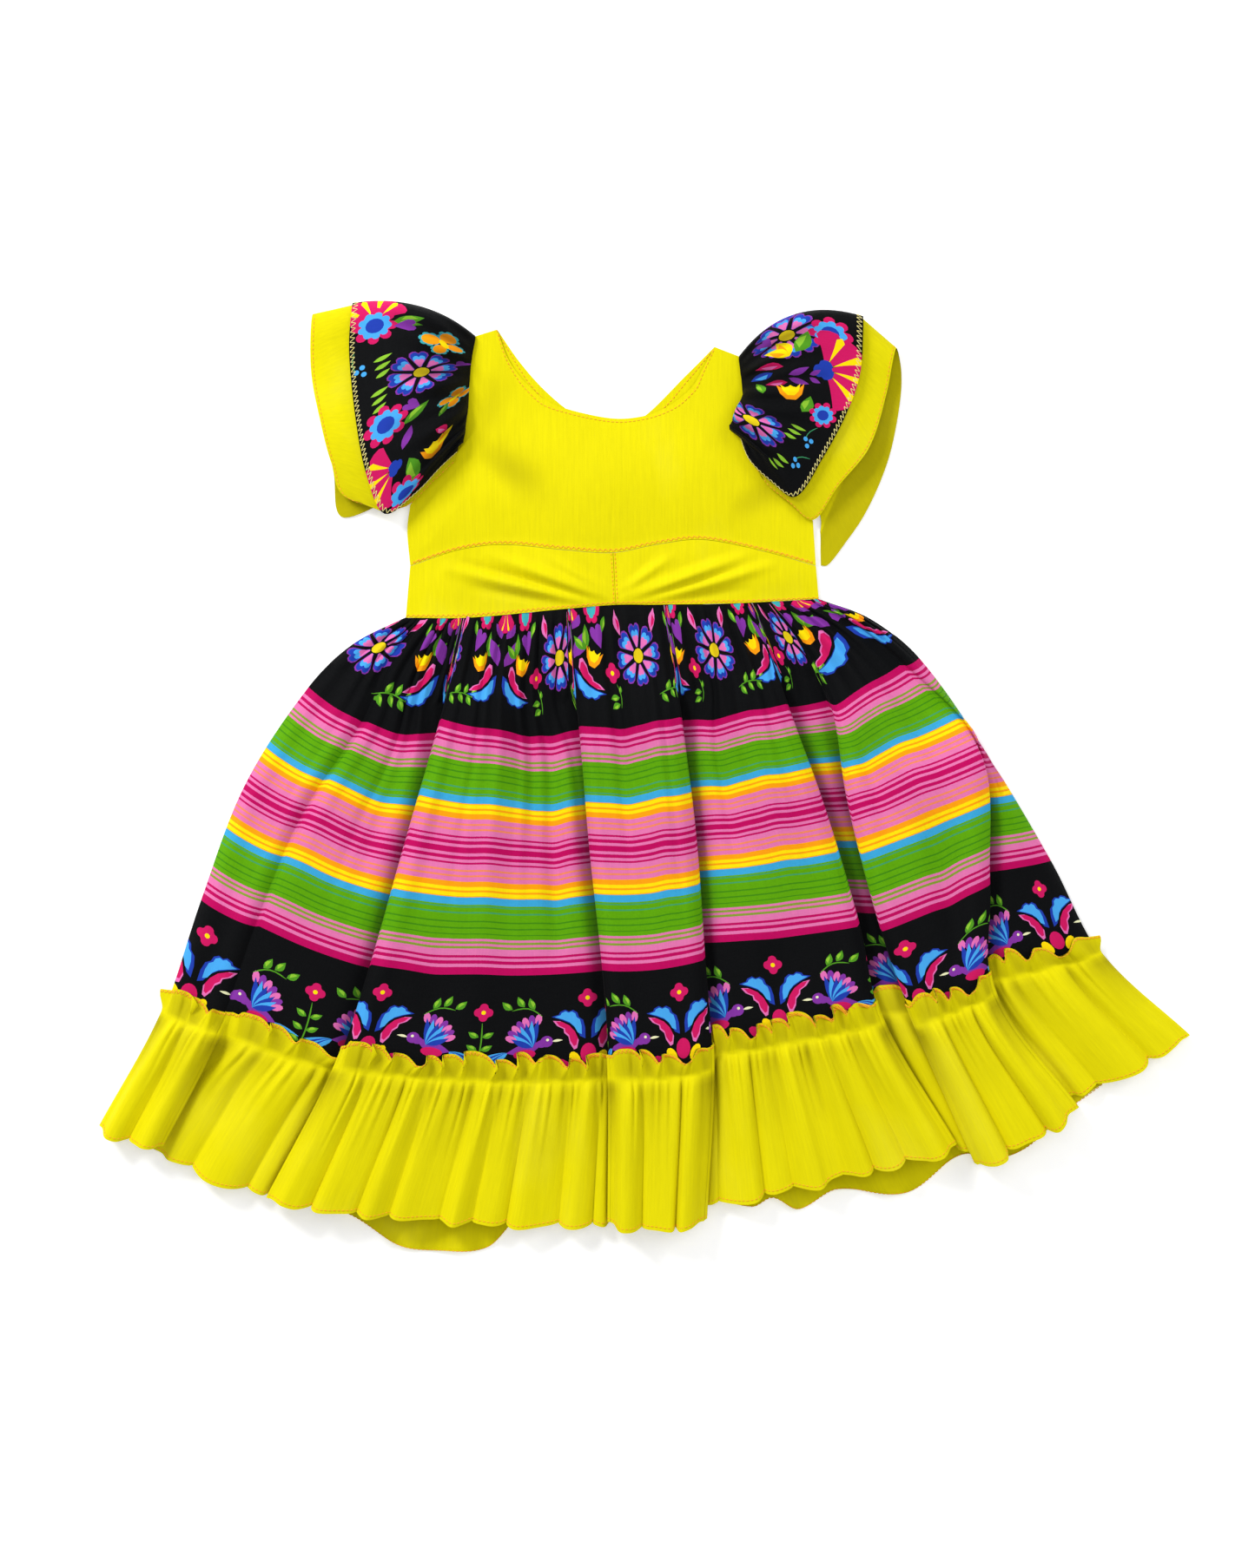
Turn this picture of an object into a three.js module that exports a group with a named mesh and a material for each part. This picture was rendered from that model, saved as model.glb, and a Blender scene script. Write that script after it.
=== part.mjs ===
// A child's folk-dance dress laid flat on a table, front side up: bodice with a scooped neck, draped
// waistband, double flutter sleeves, gathered skirt and a headed ruffle round the hem.
// Millimetres. +X runs to the right of the front view, +Y from hem to neck, +Z up from the table.
import * as THREE from "three";

// Driving sizes
const CLOTH = 1.0; // wall of every cloth piece
const SEAM_GAP = 0.3; // clear gap between pieces that are sewn together
const LAYER = CLOTH + SEAM_GAP; // pitch of two pieces that lie on each other
const TABLE_LAYER = CLOTH / 2; // middle of the wall that lies on the table
const SECOND_LAYER = TABLE_LAYER + LAYER; // middle of the wall that lies on that one
const SKIRT_LENGTH = 338; // from the waist seam to the skirt's raw edge, along the cloth
const HEADING_TOP = 313; // where the ruffle's heading starts, along the same line
const GATHER_LINE = 330; // the row of stitches that gathers the ruffle
const RUFFLE_HEM = 427; // the ruffle's hem
const HEADING_OVERHANG = 7; // how far the heading stands out past the skirt's side seams

// Folds of the front skirt. In each the cloth rolls over, runs back under itself and rolls forward again.
const EDGE_RADIUS = 1.5; // roll of a fold's visible edge, middle of the wall
const HIDDEN_RADIUS = 2.8; // roll of its hidden turn, with room for two layers of ruffle
const SHORTEST_ROLL = 1.2; // cloth in a roll that has hardly begun to turn
const ROLL_STEPS = 3;

// Distances along the cloth at which the tables below give a place, from the waist seam down.
const LEVELS = [0, 40, 83, 166, 250, 330, 427];
const SIDE_SEAMS = [
  { side: "right", x: [-165, -202, -232, -276, -306, -332, -375], y: [110, 91, 62, -6, -85, -162, -241] },
  { side: "left", x: [120, 156, 189, 238, 280, 314, 375], y: [123, 109, 82, 13, -58, -122, -179] },
];
// One row for each fold, from the right side seam to the left one: which side lies on top, the levels between
// which it forms, its visible edge, how much cloth it hides, and how far the rows of the lower layer hang below
// those of the upper one.
const FOLDS = [
  {
    over: "left", forms: [300, 370],
    x: [-152, -176, -194, -236, -268, -294, -333], y: [110, 79, 37.5, -27, -103, -177, -253],
    hidden: [1, 1, 1, 1, 1, 4, 12], lower: [0, 0, 0, 0, 0, 0, 0],
  },
  {
    over: "right", forms: [10, 120],
    x: [-124, -132, -141, -165, -189, -213, -259], y: [113, 76, 40, -44, -129, -200, -290],
    hidden: [1, 2, 5, 9, 11, 12, 12], lower: [0, 4, 9, 8, 6, 4, 0],
  },
  {
    over: "right", forms: [10, 120],
    x: [-52, -50, -45, -38, -29, -24, -24], y: [116, 76, 35, -48, -133, -207, -306],
    hidden: [1, 2, 4, 8, 12, 12, 12], lower: [0, 1, 2, 0, -1, 0, 0],
  },
  {
    over: "left", forms: [10, 120],
    x: [14, 20, 25, 35, 41, 46, 41], y: [118, 78, 41, -42, -126, -202, -305],
    hidden: [1, 2, 5, 9, 12, 12, 12], lower: [0, 1, 2, -6, -11, -8, -8],
  },
  {
    over: "left", forms: [10, 120],
    x: [72, 86, 98, 123, 147, 163, 213], y: [121, 86, 50, -21, -103, -170, -254],
    hidden: [1, 2, 5, 9, 12, 12, 12], lower: [0, 1, 2, -6, -11, -8, -4],
  },
  {
    over: "right", forms: [30, 140],
    x: [86, 110, 128, 140, 162, 186, 228], y: [121, 90, 50, -21, -106, -171, -266],
    hidden: [1, 2, 3, 9, 12, 12, 12], lower: [0, -1, -3, -8, -12, -8, -8],
  },
  {
    over: "left", forms: [108, 206],
    x: [112, 142, 177, 231, 237, 240, 297], y: [122, 103, 70, 2, -75, -150, -229],
    hidden: [1, 1, 2, 5, 12, 12, 12], lower: [0, 0, 0, -2, -8, -6, -4],
  },
];
// One row for each stretch between two folds: columns of the skirt's mesh, ruffle waves, and how far its rows
// sag and its cloth puffs up at half width.
const STRETCHES = [
  { columns: 5, waves: 2, sag: 2, puff: 3 },
  { columns: 7, waves: 3, sag: 4, puff: 4 },
  { columns: 12, waves: 9, sag: 6, puff: 4 },
  { columns: 10, waves: 3, sag: 3, puff: 3 },
  { columns: 11, waves: 7, sag: 2, puff: 4 },
  { columns: 3, waves: 1, sag: 1, puff: 1 },
  { columns: 6, waves: 3, sag: 1, puff: 4 },
  { columns: 4, waves: 3, sag: 1, puff: 3 },
];
const COLUMNS_A_WAVE = 4;
const BACK_RISES = [250, 290]; // between these the back skirt climbs on to the back ruffle's heading
const SKIRT_ROWS = [0, 10, 28, 58, 94, 130, 166, 208, 250, 290, HEADING_TOP, GATHER_LINE, SKIRT_LENGTH];
const RUFFLE_ROWS = [HEADING_TOP, GATHER_LINE, SKIRT_LENGTH, 354, 388, RUFFLE_HEM];
// The front hem, and how far the back one hangs below it.
const HEM_LINE = {
  x: [
    -375, -343, -313, -284, -253, -208, -148, -88, -28, 2, 32,
    46, 90, 136, 181, 211, 241, 256, 286, 316, 346, 375,
  ],
  y: [
    -241, -257, -269, -275, -293, -303, -307, -306, -306, -310, -308,
    -297, -293, -288, -278, -266, -262, -254, -230, -215, -200, -179,
  ],
};
const BACK_HEM = {
  x: [-375, -340, -260, -205, -170, -140, -108, -84, -50, -18, 30, 74, 88, 106, 132, 182, 222, 268, 330, 375],
  drop: [-1, -6, -6, -2, 17, 20, 18, -4, 3, -6, -9, 3, -3, 7, -4, 9, -4, 8, -6, -1],
};

// Outlines on the table, each a row of points in millimetres.
const NECKLINE = [
  [-102, 309], [-94, 288], [-80, 270], [-62, 257], [-26, 248],
  [-2, 249], [16, 256], [32, 269], [40, 282], [48, 297],
];
const BACK_NECKLINE = [
  [-102, 309], [-86, 286], [-68, 266], [-48, 250],
  [-26, 240], [-2, 248], [28, 277], [48, 297],
];
const RIGHT_ARMHOLE = [[-118, 304], [-123, 279], [-124, 255], [-128, 231], [-140, 210], [-162, 188]];
const LEFT_ARMHOLE = [[66, 290], [69, 267], [72, 243], [80, 219], [92, 198], [116, 177]];
const RIGHT_SIDE = [[-162, 188], [-164, 170], [-162, 146]];
const LEFT_SIDE = [[116, 177], [117, 162], [118, 146]];
const BODICE_SEAM = {
  x: [-162, -128, -98, -56, -22, 10, 40, 82, 118],
  y: [146, 157, 160.5, 157, 155, 161, 164, 156, 146],
};
const WAIST_SEAM = { x: [-165, -122, -56, -20, 10, 64, 120], y: [110, 110, 116, 119, 119, 120, 123] };
const BAND_MEETS = { topX: -22, bottomX: -20 }; // the front waistband's centre seam
const BAND_PLEATS = 3; // folds that fan out from that seam, on each side
const PLEAT_RISE = 2.6;

// Sleeves, each a strip that runs from the front underarm over the shoulder fold to the back underarm. Every
// column of a table is a place along a line, from the shoulder fold to the underarm end.
const SHARES = [0, 0.2, 0.4, 0.55, 0.7, 0.82, 0.92, 1];
const SLEEVES = [
  {
    name: "right", puff: 20, bulge: { fold: 9, underarm: 2 },
    front: {
      seam: {
        x: [-116.5, -119.5, -121, -121.8, -122.5, -124, -125, -127],
        y: [304.5, 290, 276, 264, 253, 244, 238, 231],
      },
      print: {
        x: [-201, -203, -198, -191, -179, -159, -142, -129.5],
        y: [326, 291, 243, 207, 181, 194, 212, 224],
      },
      under: {
        x: [-230, -230, -223, -216, -206, -168, -145, -130],
        y: [320, 279, 243, 216, 192, 185, 204, 218],
      },
    },
    back: {
      seam: {
        x: [-119, -121.8, -124.3, -125, -125.3, -126.8, -128, -130],
        y: [304.5, 290, 276, 264, 253, 244, 238, 231],
      },
      print: {
        x: [-201, -203, -200, -195, -185, -165, -149, -134],
        y: [326, 292, 248, 218, 196, 202, 212, 224],
      },
      under: {
        x: [-228, -228, -222, -215, -210, -183, -158, -138.5],
        y: [320, 279, 243, 210, 180, 188, 202, 217.5],
      },
    },
  },
  {
    name: "left", puff: 18, bulge: { fold: 15, underarm: 9 },
    front: {
      seam: {
        x: [64.5, 66.2, 67.5, 68.4, 69, 68.8, 68, 66.5],
        y: [290.5, 279, 268, 260, 252, 247, 243.5, 241],
      },
      print: {
        x: [150, 148, 138, 122, 104, 87, 72, 65.5],
        y: [317, 279, 249, 219, 193, 203, 218, 235],
      },
      under: {
        x: [172, 166, 154, 133, 116, 98, 80, 67],
        y: [296, 262, 226, 200, 177, 190, 206, 230],
      },
    },
    back: {
      seam: {
        x: [67, 69.2, 71.9, 76, 82, 88.5, 95, 101],
        y: [290.5, 272, 255, 238, 222, 209.5, 200.5, 194],
      },
      print: {
        x: [150, 153, 149, 143, 136, 129, 124, 121],
        y: [317, 285, 250, 226, 206, 189, 177, 169],
      },
      under: {
        x: [176, 177, 171, 163, 151, 138, 127, 121.5],
        y: [297, 267, 230, 205, 180, 161, 147, 146],
      },
    },
  },
];
const FOLD_ROLL = 0.1; // share of a sleeve's sweep that the shoulder fold takes
const SLACK = 0.15; // height at which a sleeve's loose edge lies above the table
const SLEEVE_WAVES = 5;
const PRINT_ROWS = [0, 0.1, 0.25, 0.45, 0.7, 1]; // 0 is the armhole seam, 1 the print's hem
const UNDER_ROWS = [...PRINT_ROWS, 1.5, 2]; // 2 is the plain layer's hem

const COLOURS = { yellow: 0xf2ee00, print: 0x14141a, stripes: 0xc43a80 };

const lerp = (a, b, t) => a + (b - a) * t;
const clamp01 = (t) => Math.min(1, Math.max(0, t));
const ease = (a, b, k) => {
  const t = clamp01((k - a) / (b - a));
  return t * t * (3 - 2 * t);
};

// A smooth curve through values given at rising knots, and level past both ends.
function track(knots, values) {
  const last = knots.length - 1;
  const slope = (i) => {
    const a = Math.max(i - 1, 0);
    const b = Math.min(i + 1, last);
    return (values[b] - values[a]) / (knots[b] - knots[a]);
  };
  return (k) => {
    const at = Math.min(Math.max(k, knots[0]), knots[last]);
    let i = 0;
    while (i < last - 1 && at > knots[i + 1]) i++;
    const h = knots[i + 1] - knots[i];
    const t = (at - knots[i]) / h;
    const rise = t * t * (3 - 2 * t);
    const bend = t * (1 - t) * h * ((1 - t) * slope(i) - t * slope(i + 1));
    return lerp(values[i], values[i + 1], rise) + bend;
  };
}

// A smooth path through points, as a function of its share from 0 to 1.
function path(points) {
  const knots = points.map((_, i) => i / (points.length - 1));
  const x = track(knots, points.map((p) => p[0]));
  const y = track(knots, points.map((p) => p[1]));
  return (t) => [x(t), y(t)];
}

// The normal of a grid of points at one of them, from its neighbours.
function normalAt(grid, r, c) {
  const rows = grid.length - 1;
  const columns = grid[0].length - 1;
  const along = grid[Math.min(r + 1, rows)][c].clone().sub(grid[Math.max(r - 1, 0)][c]);
  const across = grid[r][Math.min(c + 1, columns)].clone().sub(grid[r][Math.max(c - 1, 0)]);
  return along.cross(across).normalize();
}

// A grid of points moved out along its normals by a distance that may differ from point to point.
function movedOut(grid, distance) {
  const moved = (p, r, c) => p.clone().addScaledVector(normalAt(grid, r, c), distance(r, c));
  return grid.map((row, r) => row.map((p, c) => moved(p, r, c)));
}

// A closed wall of cloth whose middle surface is a grid of points. A flat wall keeps its lower face level.
function wall(grid, isFlat = false) {
  const half = CLOTH / 2;
  const lift = new THREE.Vector3(0, 0, half);
  const lifted = (sign) => grid.map((row) => row.map((p) => p.clone().addScaledVector(lift, sign)));
  const offset = (sign) => (isFlat ? lifted(sign) : movedOut(grid, () => sign * half));
  const rows = grid.length;
  const columns = grid[0].length;
  const points = [...offset(1), ...offset(-1)].flat();
  const top = (r, c) => r * columns + c;
  const bottom = (r, c) => rows * columns + r * columns + c;
  const index = [];
  const quad = (a, b, c, d) => index.push(a, b, c, a, c, d);
  for (let r = 0; r + 1 < rows; r++) {
    for (let c = 0; c + 1 < columns; c++) {
      quad(top(r, c), top(r + 1, c), top(r + 1, c + 1), top(r, c + 1));
      quad(bottom(r, c), bottom(r, c + 1), bottom(r + 1, c + 1), bottom(r + 1, c));
    }
    quad(top(r, 0), bottom(r, 0), bottom(r + 1, 0), top(r + 1, 0));
    quad(top(r, columns - 1), top(r + 1, columns - 1), bottom(r + 1, columns - 1), bottom(r, columns - 1));
  }
  for (let c = 0; c + 1 < columns; c++) {
    quad(top(0, c), top(0, c + 1), bottom(0, c + 1), bottom(0, c));
    quad(top(rows - 1, c), bottom(rows - 1, c), bottom(rows - 1, c + 1), top(rows - 1, c + 1));
  }
  const geometry = new THREE.BufferGeometry().setFromPoints(points);
  geometry.setIndex(index);
  geometry.computeVertexNormals();
  return geometry;
}

// The skirt's two side seams and its folds, as functions of the distance down the cloth.
const onLevels = (row) => ({ ...row, x: track(LEVELS, row.x), y: track(LEVELS, row.y) });
const [rightSeam, leftSeam] = SIDE_SEAMS.map(onLevels);
const folds = FOLDS.map((fold) => ({
  ...onLevels(fold),
  hidden: track(LEVELS, fold.hidden),
  lower: track(LEVELS, fold.lower),
}));

const backHeight = (v) => TABLE_LAYER + LAYER * ease(BACK_RISES[0], BACK_RISES[1], v);
const seamHeight = (v) => backHeight(v) + LAYER;
const lowHeight = track([0, 20, 50, 83, 166, 290, 330, 427], [2.6, 5, 5.6, 5, 4.6, 4.8, 5, 3.6]);

// The stations of one fold at one level, from its left end to its right end.
function foldStations(fold, v) {
  const turn = Math.max(0.01, Math.PI * ease(fold.forms[0], fold.forms[1], v));
  const edgeRadius = Math.max(EDGE_RADIUS, SHORTEST_ROLL / turn);
  const hiddenRadius = Math.max(HIDDEN_RADIUS, SHORTEST_ROLL / turn);
  const back = fold.hidden(v);
  const anchor = edgeRadius * Math.sin(Math.min(turn, Math.PI / 2));
  const inner = {
    x: edgeRadius * Math.sin(turn) + back * Math.cos(turn),
    z: -edgeRadius * (1 - Math.cos(turn)) - back * Math.sin(turn),
  };
  const drop = hiddenRadius * (1 - Math.cos(turn)) - inner.z;
  const profile = [];
  for (let i = 0; i <= ROLL_STEPS; i++) {
    const angle = (turn * i) / ROLL_STEPS;
    profile.push({ x: edgeRadius * Math.sin(angle), z: -edgeRadius * (1 - Math.cos(angle)) });
  }
  for (let i = 0; i <= ROLL_STEPS; i++) {
    const angle = turn * (1 - i / ROLL_STEPS);
    profile.push({
      x: inner.x + hiddenRadius * (Math.sin(turn) - Math.sin(angle)),
      z: inner.z - hiddenRadius * (Math.cos(angle) - Math.cos(turn)),
    });
  }
  const facing = fold.over === "left" ? 1 : -1;
  const stations = profile.map((p, i) => ({
    x: fold.x(v) + facing * (p.x - anchor),
    y: fold.y(v) - (fold.lower(v) * i) / (profile.length - 1),
    z: lowHeight(v) + drop + p.z,
    free: 0,
    phase: 0,
  }));
  return facing > 0 ? stations : stations.reverse();
}

// The stations of a stretch of cloth between two folds, ends left out.
function stretchStations(stretch, from, to, v, columns, hiddenLeft, hiddenRight) {
  const width = Math.abs(to.x - from.x);
  const rise = stretch.puff * ease(0, 60, v) * (1 - 0.5 * ease(166, 330, v));
  const stations = [];
  for (let i = 1; i < columns; i++) {
    const t = i / columns;
    const arch = 4 * t * (1 - t);
    const clearLeft = ease(0, 9, width * t - hiddenLeft);
    const clearRight = ease(0, 9, width * (1 - t) - hiddenRight);
    stations.push({
      x: lerp(from.x, to.x, t),
      y: lerp(from.y, to.y, t) - stretch.sag * arch,
      z: lerp(from.z, to.z, ease(0, 1, t)) + rise * arch,
      free: clearLeft * clearRight,
      phase: t * stretch.waves,
    });
  }
  return stations;
}

// One row of the front skirt, from side seam to side seam. columnsOf gives the columns of each stretch.
function skirtRow(v, columnsOf) {
  const atSeam = (seam) => ({ x: seam.x(v), y: seam.y(v), z: seamHeight(v), free: 0, phase: 0 });
  const row = [atSeam(rightSeam)];
  STRETCHES.forEach((stretch, k) => {
    const next = k < folds.length ? foldStations(folds[k], v) : [atSeam(leftSeam)];
    const before = folds[k - 1];
    const after = folds[k];
    const hiddenLeft = before && before.over === "left" ? before.hidden(v) : 0;
    const hiddenRight = after && after.over === "right" ? after.hidden(v) : 0;
    const start = row[row.length - 1];
    row.push(...stretchStations(stretch, start, next[0], v, columnsOf(stretch), hiddenLeft, hiddenRight));
    row.push(...next);
  });
  return row;
}

const toPoint = (s) => new THREE.Vector3(s.x, s.y, s.z);

// The front skirt: gathered under the waistband, with small gathers that fade below it.
function skirtFront() {
  const gather = track([0, 10, 52, 100, 166], [0.2, 1.6, 1.6, 0.7, 0]);
  return SKIRT_ROWS.map((v) => {
    const row = skirtRow(v, (stretch) => stretch.columns);
    return row.map((s, c) => {
      const p = toPoint(s);
      const isInside = c > 0 && c < row.length - 1;
      if (c % 2 && isInside) p.z += gather(v) * (v < 60 ? 1 : s.free);
      if (v === 0) p.y = waistLine(p.x) - SEAM_GAP;
      return p;
    });
  });
}

// How far the ruffle's waves stand off the skirt, and how far they lengthen its edges.
const waveDepth = track(
  [HEADING_TOP, GATHER_LINE, SKIRT_LENGTH, 354, 388, RUFFLE_HEM],
  [5.5, 0.4, 1.8, 3.6, 5.6, 7.5],
);
const waveReach = track([HEADING_TOP, GATHER_LINE, 388, RUFFLE_HEM], [3, 0, -1, -4]);

// The front ruffle, made from the skirt's own points, moved out.
function ruffleFront() {
  const rows = RUFFLE_ROWS.map((v) => skirtRow(v, (stretch) => stretch.waves * COLUMNS_A_WAVE));
  const skirt = rows.map((row) => row.map(toPoint));
  const wave = (r, c) => ((1 - Math.cos(2 * Math.PI * rows[r][c].phase)) / 2) * rows[r][c].free;
  const ruffle = movedOut(skirt, (r, c) => LAYER + 0.1 + waveDepth(RUFFLE_ROWS[r]) * wave(r, c));
  ruffle.forEach((row, r) => {
    row.forEach((p, c) => {
      p.y += waveReach(RUFFLE_ROWS[r]) * wave(r, c);
    });
  });
  ruffle[0][0].x -= HEADING_OVERHANG;
  ruffle[0][ruffle[0].length - 1].x += HEADING_OVERHANG;
  return ruffle;
}

// A panel of the back, flat between the side seams.
function backPanel(rows, columns, place) {
  const sag = track([0, 83, 250, GATHER_LINE], [0, 38, 38, 40]);
  return rows.map((v) =>
    Array.from({ length: columns + 1 }, (_, c) => {
      const t = c / columns;
      const x = lerp(rightSeam.x(v), leftSeam.x(v), t);
      const y = lerp(rightSeam.y(v), leftSeam.y(v), t) - sag(v) * 4 * t * (1 - t);
      return place(x, y, v, t);
    }),
  );
}

const skirtBack = () =>
  backPanel([0, 52, 130, 210, 250, 290, HEADING_TOP, SKIRT_LENGTH], 22, (x, y, v) =>
    new THREE.Vector3(x, v === 0 ? y - SEAM_GAP : y, backHeight(v)),
  );

const BACK_WAVES = 20;
function ruffleBack() {
  const hemLine = track(HEM_LINE.x, HEM_LINE.y);
  const hemDrop = track(BACK_HEM.x, BACK_HEM.drop);
  return backPanel([HEADING_TOP, GATHER_LINE, 350, 388, RUFFLE_HEM], BACK_WAVES * 3, (x, y, v, t) => {
    const grown = ease(SKIRT_LENGTH + 4, RUFFLE_HEM, v);
    const wave = ((1 - Math.cos(2 * Math.PI * BACK_WAVES * t)) / 2) * clamp01(32 * t * (1 - t));
    const hang = lerp(y, hemLine(x) - hemDrop(x), ease(GATHER_LINE, RUFFLE_HEM, v));
    return new THREE.Vector3(x, hang, TABLE_LAYER + 2 * grown * wave);
  });
}

// The bodice's outer edge, from the right shoulder tip down the armhole and side, along the seam and up.
const SEAM_COLUMNS = 16; // columns of the bodice's mesh along the waistband
const BODICE_COLUMNS = 40;
const seamCurve = track(BODICE_SEAM.x, BODICE_SEAM.y);
const across = (row, t) => lerp(row.x[0], row.x[row.x.length - 1], t);
// The seam as the bodice's mesh has it, in straight steps, so that the waistband meets it.
function seamLine(x) {
  const t = clamp01((x - across(BODICE_SEAM, 0)) / (across(BODICE_SEAM, 1) - across(BODICE_SEAM, 0)));
  const step = Math.min(SEAM_COLUMNS - 1, Math.floor(t * SEAM_COLUMNS));
  const y = (i) => seamCurve(across(BODICE_SEAM, i / SEAM_COLUMNS));
  return lerp(y(step), y(step + 1), t * SEAM_COLUMNS - step);
}
const OUTER_PARTS = [
  { to: 0.2, at: path(RIGHT_ARMHOLE) },
  { to: 0.3, at: path(RIGHT_SIDE) },
  { to: 0.7, at: (t) => [across(BODICE_SEAM, t), seamCurve(across(BODICE_SEAM, t))] },
  { to: 0.8, at: path([...LEFT_SIDE].reverse()) },
  { to: 1, at: path([...LEFT_ARMHOLE].reverse()) },
];
function bodiceEdge(t) {
  const k = OUTER_PARTS.findIndex((part) => t <= part.to + 1e-9);
  const from = k > 0 ? OUTER_PARTS[k - 1].to : 0;
  return OUTER_PARTS[k].at((t - from) / (OUTER_PARTS[k].to - from));
}

// A bodice panel, spread between its neckline and its outer edge.
function bodice(neckline, rows, heightOf) {
  const neck = path(neckline);
  return Array.from({ length: rows + 1 }, (_, r) =>
    Array.from({ length: BODICE_COLUMNS + 1 }, (_, c) => {
      const t = c / BODICE_COLUMNS;
      const share = r / rows;
      const [nx, ny] = neck(t);
      const [ox, oy] = bodiceEdge(t);
      return new THREE.Vector3(lerp(nx, ox, share), lerp(ny, oy, share), heightOf(t, share));
    }),
  );
}

// The front lies higher towards its middle, and meets the waistband's raised middle along the seam.
const BODICE_RISE = 3.4;
const BAND_RISE = 1.4;
const frontHeight = (t, share) => {
  const body = Math.sin(Math.PI * Math.min(1, share * 1.05)) * 4 * t * (1 - t);
  const seam = share * ease(0.3, 0.38, t) * ease(0.7, 0.62, t);
  return SECOND_LAYER + BODICE_RISE * body + BAND_RISE * seam;
};

// One half of the front waistband, from its side seam to the centre seam. Its pleats fan out from the centre
// seam's lower end.
const BAND_COLUMNS = 16;
const BAND_ROWS = 7;
const waistCurve = track(WAIST_SEAM.x, WAIST_SEAM.y);
function frontBand(side, end) {
  const centre = side === "right" ? -SEAM_GAP / 2 : SEAM_GAP / 2;
  return Array.from({ length: BAND_ROWS + 1 }, (_, r) =>
    Array.from({ length: BAND_COLUMNS + 1 }, (_, c) => {
      const t = c / BAND_COLUMNS;
      const share = r / BAND_ROWS;
      const top = lerp(across(BODICE_SEAM, end), BAND_MEETS.topX + centre, t);
      const bottom = lerp(across(WAIST_SEAM, end), BAND_MEETS.bottomX + centre, t);
      const fan = Math.atan2(1 - share, (1 - t) * 2.4 + 0.05) / (Math.PI / 2);
      const crest = Math.sin(Math.PI * BAND_PLEATS * fan) ** 2;
      const pleat = crest * Math.sin(Math.PI * t) ** 0.6 * Math.sin(Math.PI * share);
      const y = lerp(seamLine(top) - SEAM_GAP, waistCurve(bottom), share);
      const z = SECOND_LAYER + BAND_RISE * ease(0, 0.25, t) + PLEAT_RISE * pleat;
      return new THREE.Vector3(lerp(top, bottom, share), y, z);
    }),
  );
}
const rightBand = frontBand("right", 0);
const leftBand = frontBand("left", 1).map((row) => row.reverse());
// The waistband's lower edge as its mesh has it, which the skirt's top row follows.
function waistLine(x) {
  const edge = [...rightBand[BAND_ROWS], ...leftBand[BAND_ROWS]];
  let i = 0;
  while (i < edge.length - 2 && x > edge[i + 1].x) i++;
  return lerp(edge[i].y, edge[i + 1].y, (x - edge[i].x) / (edge[i + 1].x - edge[i].x));
}

const BACK_BAND_COLUMNS = 16;
const backBand = () =>
  [0, 1].map((share) =>
    Array.from({ length: BACK_BAND_COLUMNS + 1 }, (_, c) => {
      const t = c / BACK_BAND_COLUMNS;
      const top = across(BODICE_SEAM, t);
      const bottom = across(WAIST_SEAM, t);
      const y = lerp(seamLine(top) - SEAM_GAP, lerp(rightSeam.y(0), leftSeam.y(0), t), share);
      return new THREE.Vector3(lerp(top, bottom, share), y, TABLE_LAYER);
    }),
  );

// The stations of a sleeve's sweep, from the front underarm (level 1) over the shoulder fold to the back
// underarm (level 0).
const SWEEP = (() => {
  const half = 12;
  const roll = 4;
  const sweep = [];
  for (let i = half; i > 0; i--) sweep.push({ share: lerp(FOLD_ROLL, 1, i / half), level: 1 });
  for (let i = 0; i <= roll; i++) {
    const angle = (Math.PI / 2) * (1 - (2 * i) / roll);
    sweep.push({ share: FOLD_ROLL * (1 - Math.cos(angle)), level: (1 + Math.sin(angle)) / 2 });
  }
  for (let i = 1; i <= half; i++) sweep.push({ share: lerp(FOLD_ROLL, 1, i / half), level: 0 });
  return sweep;
})();

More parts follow.
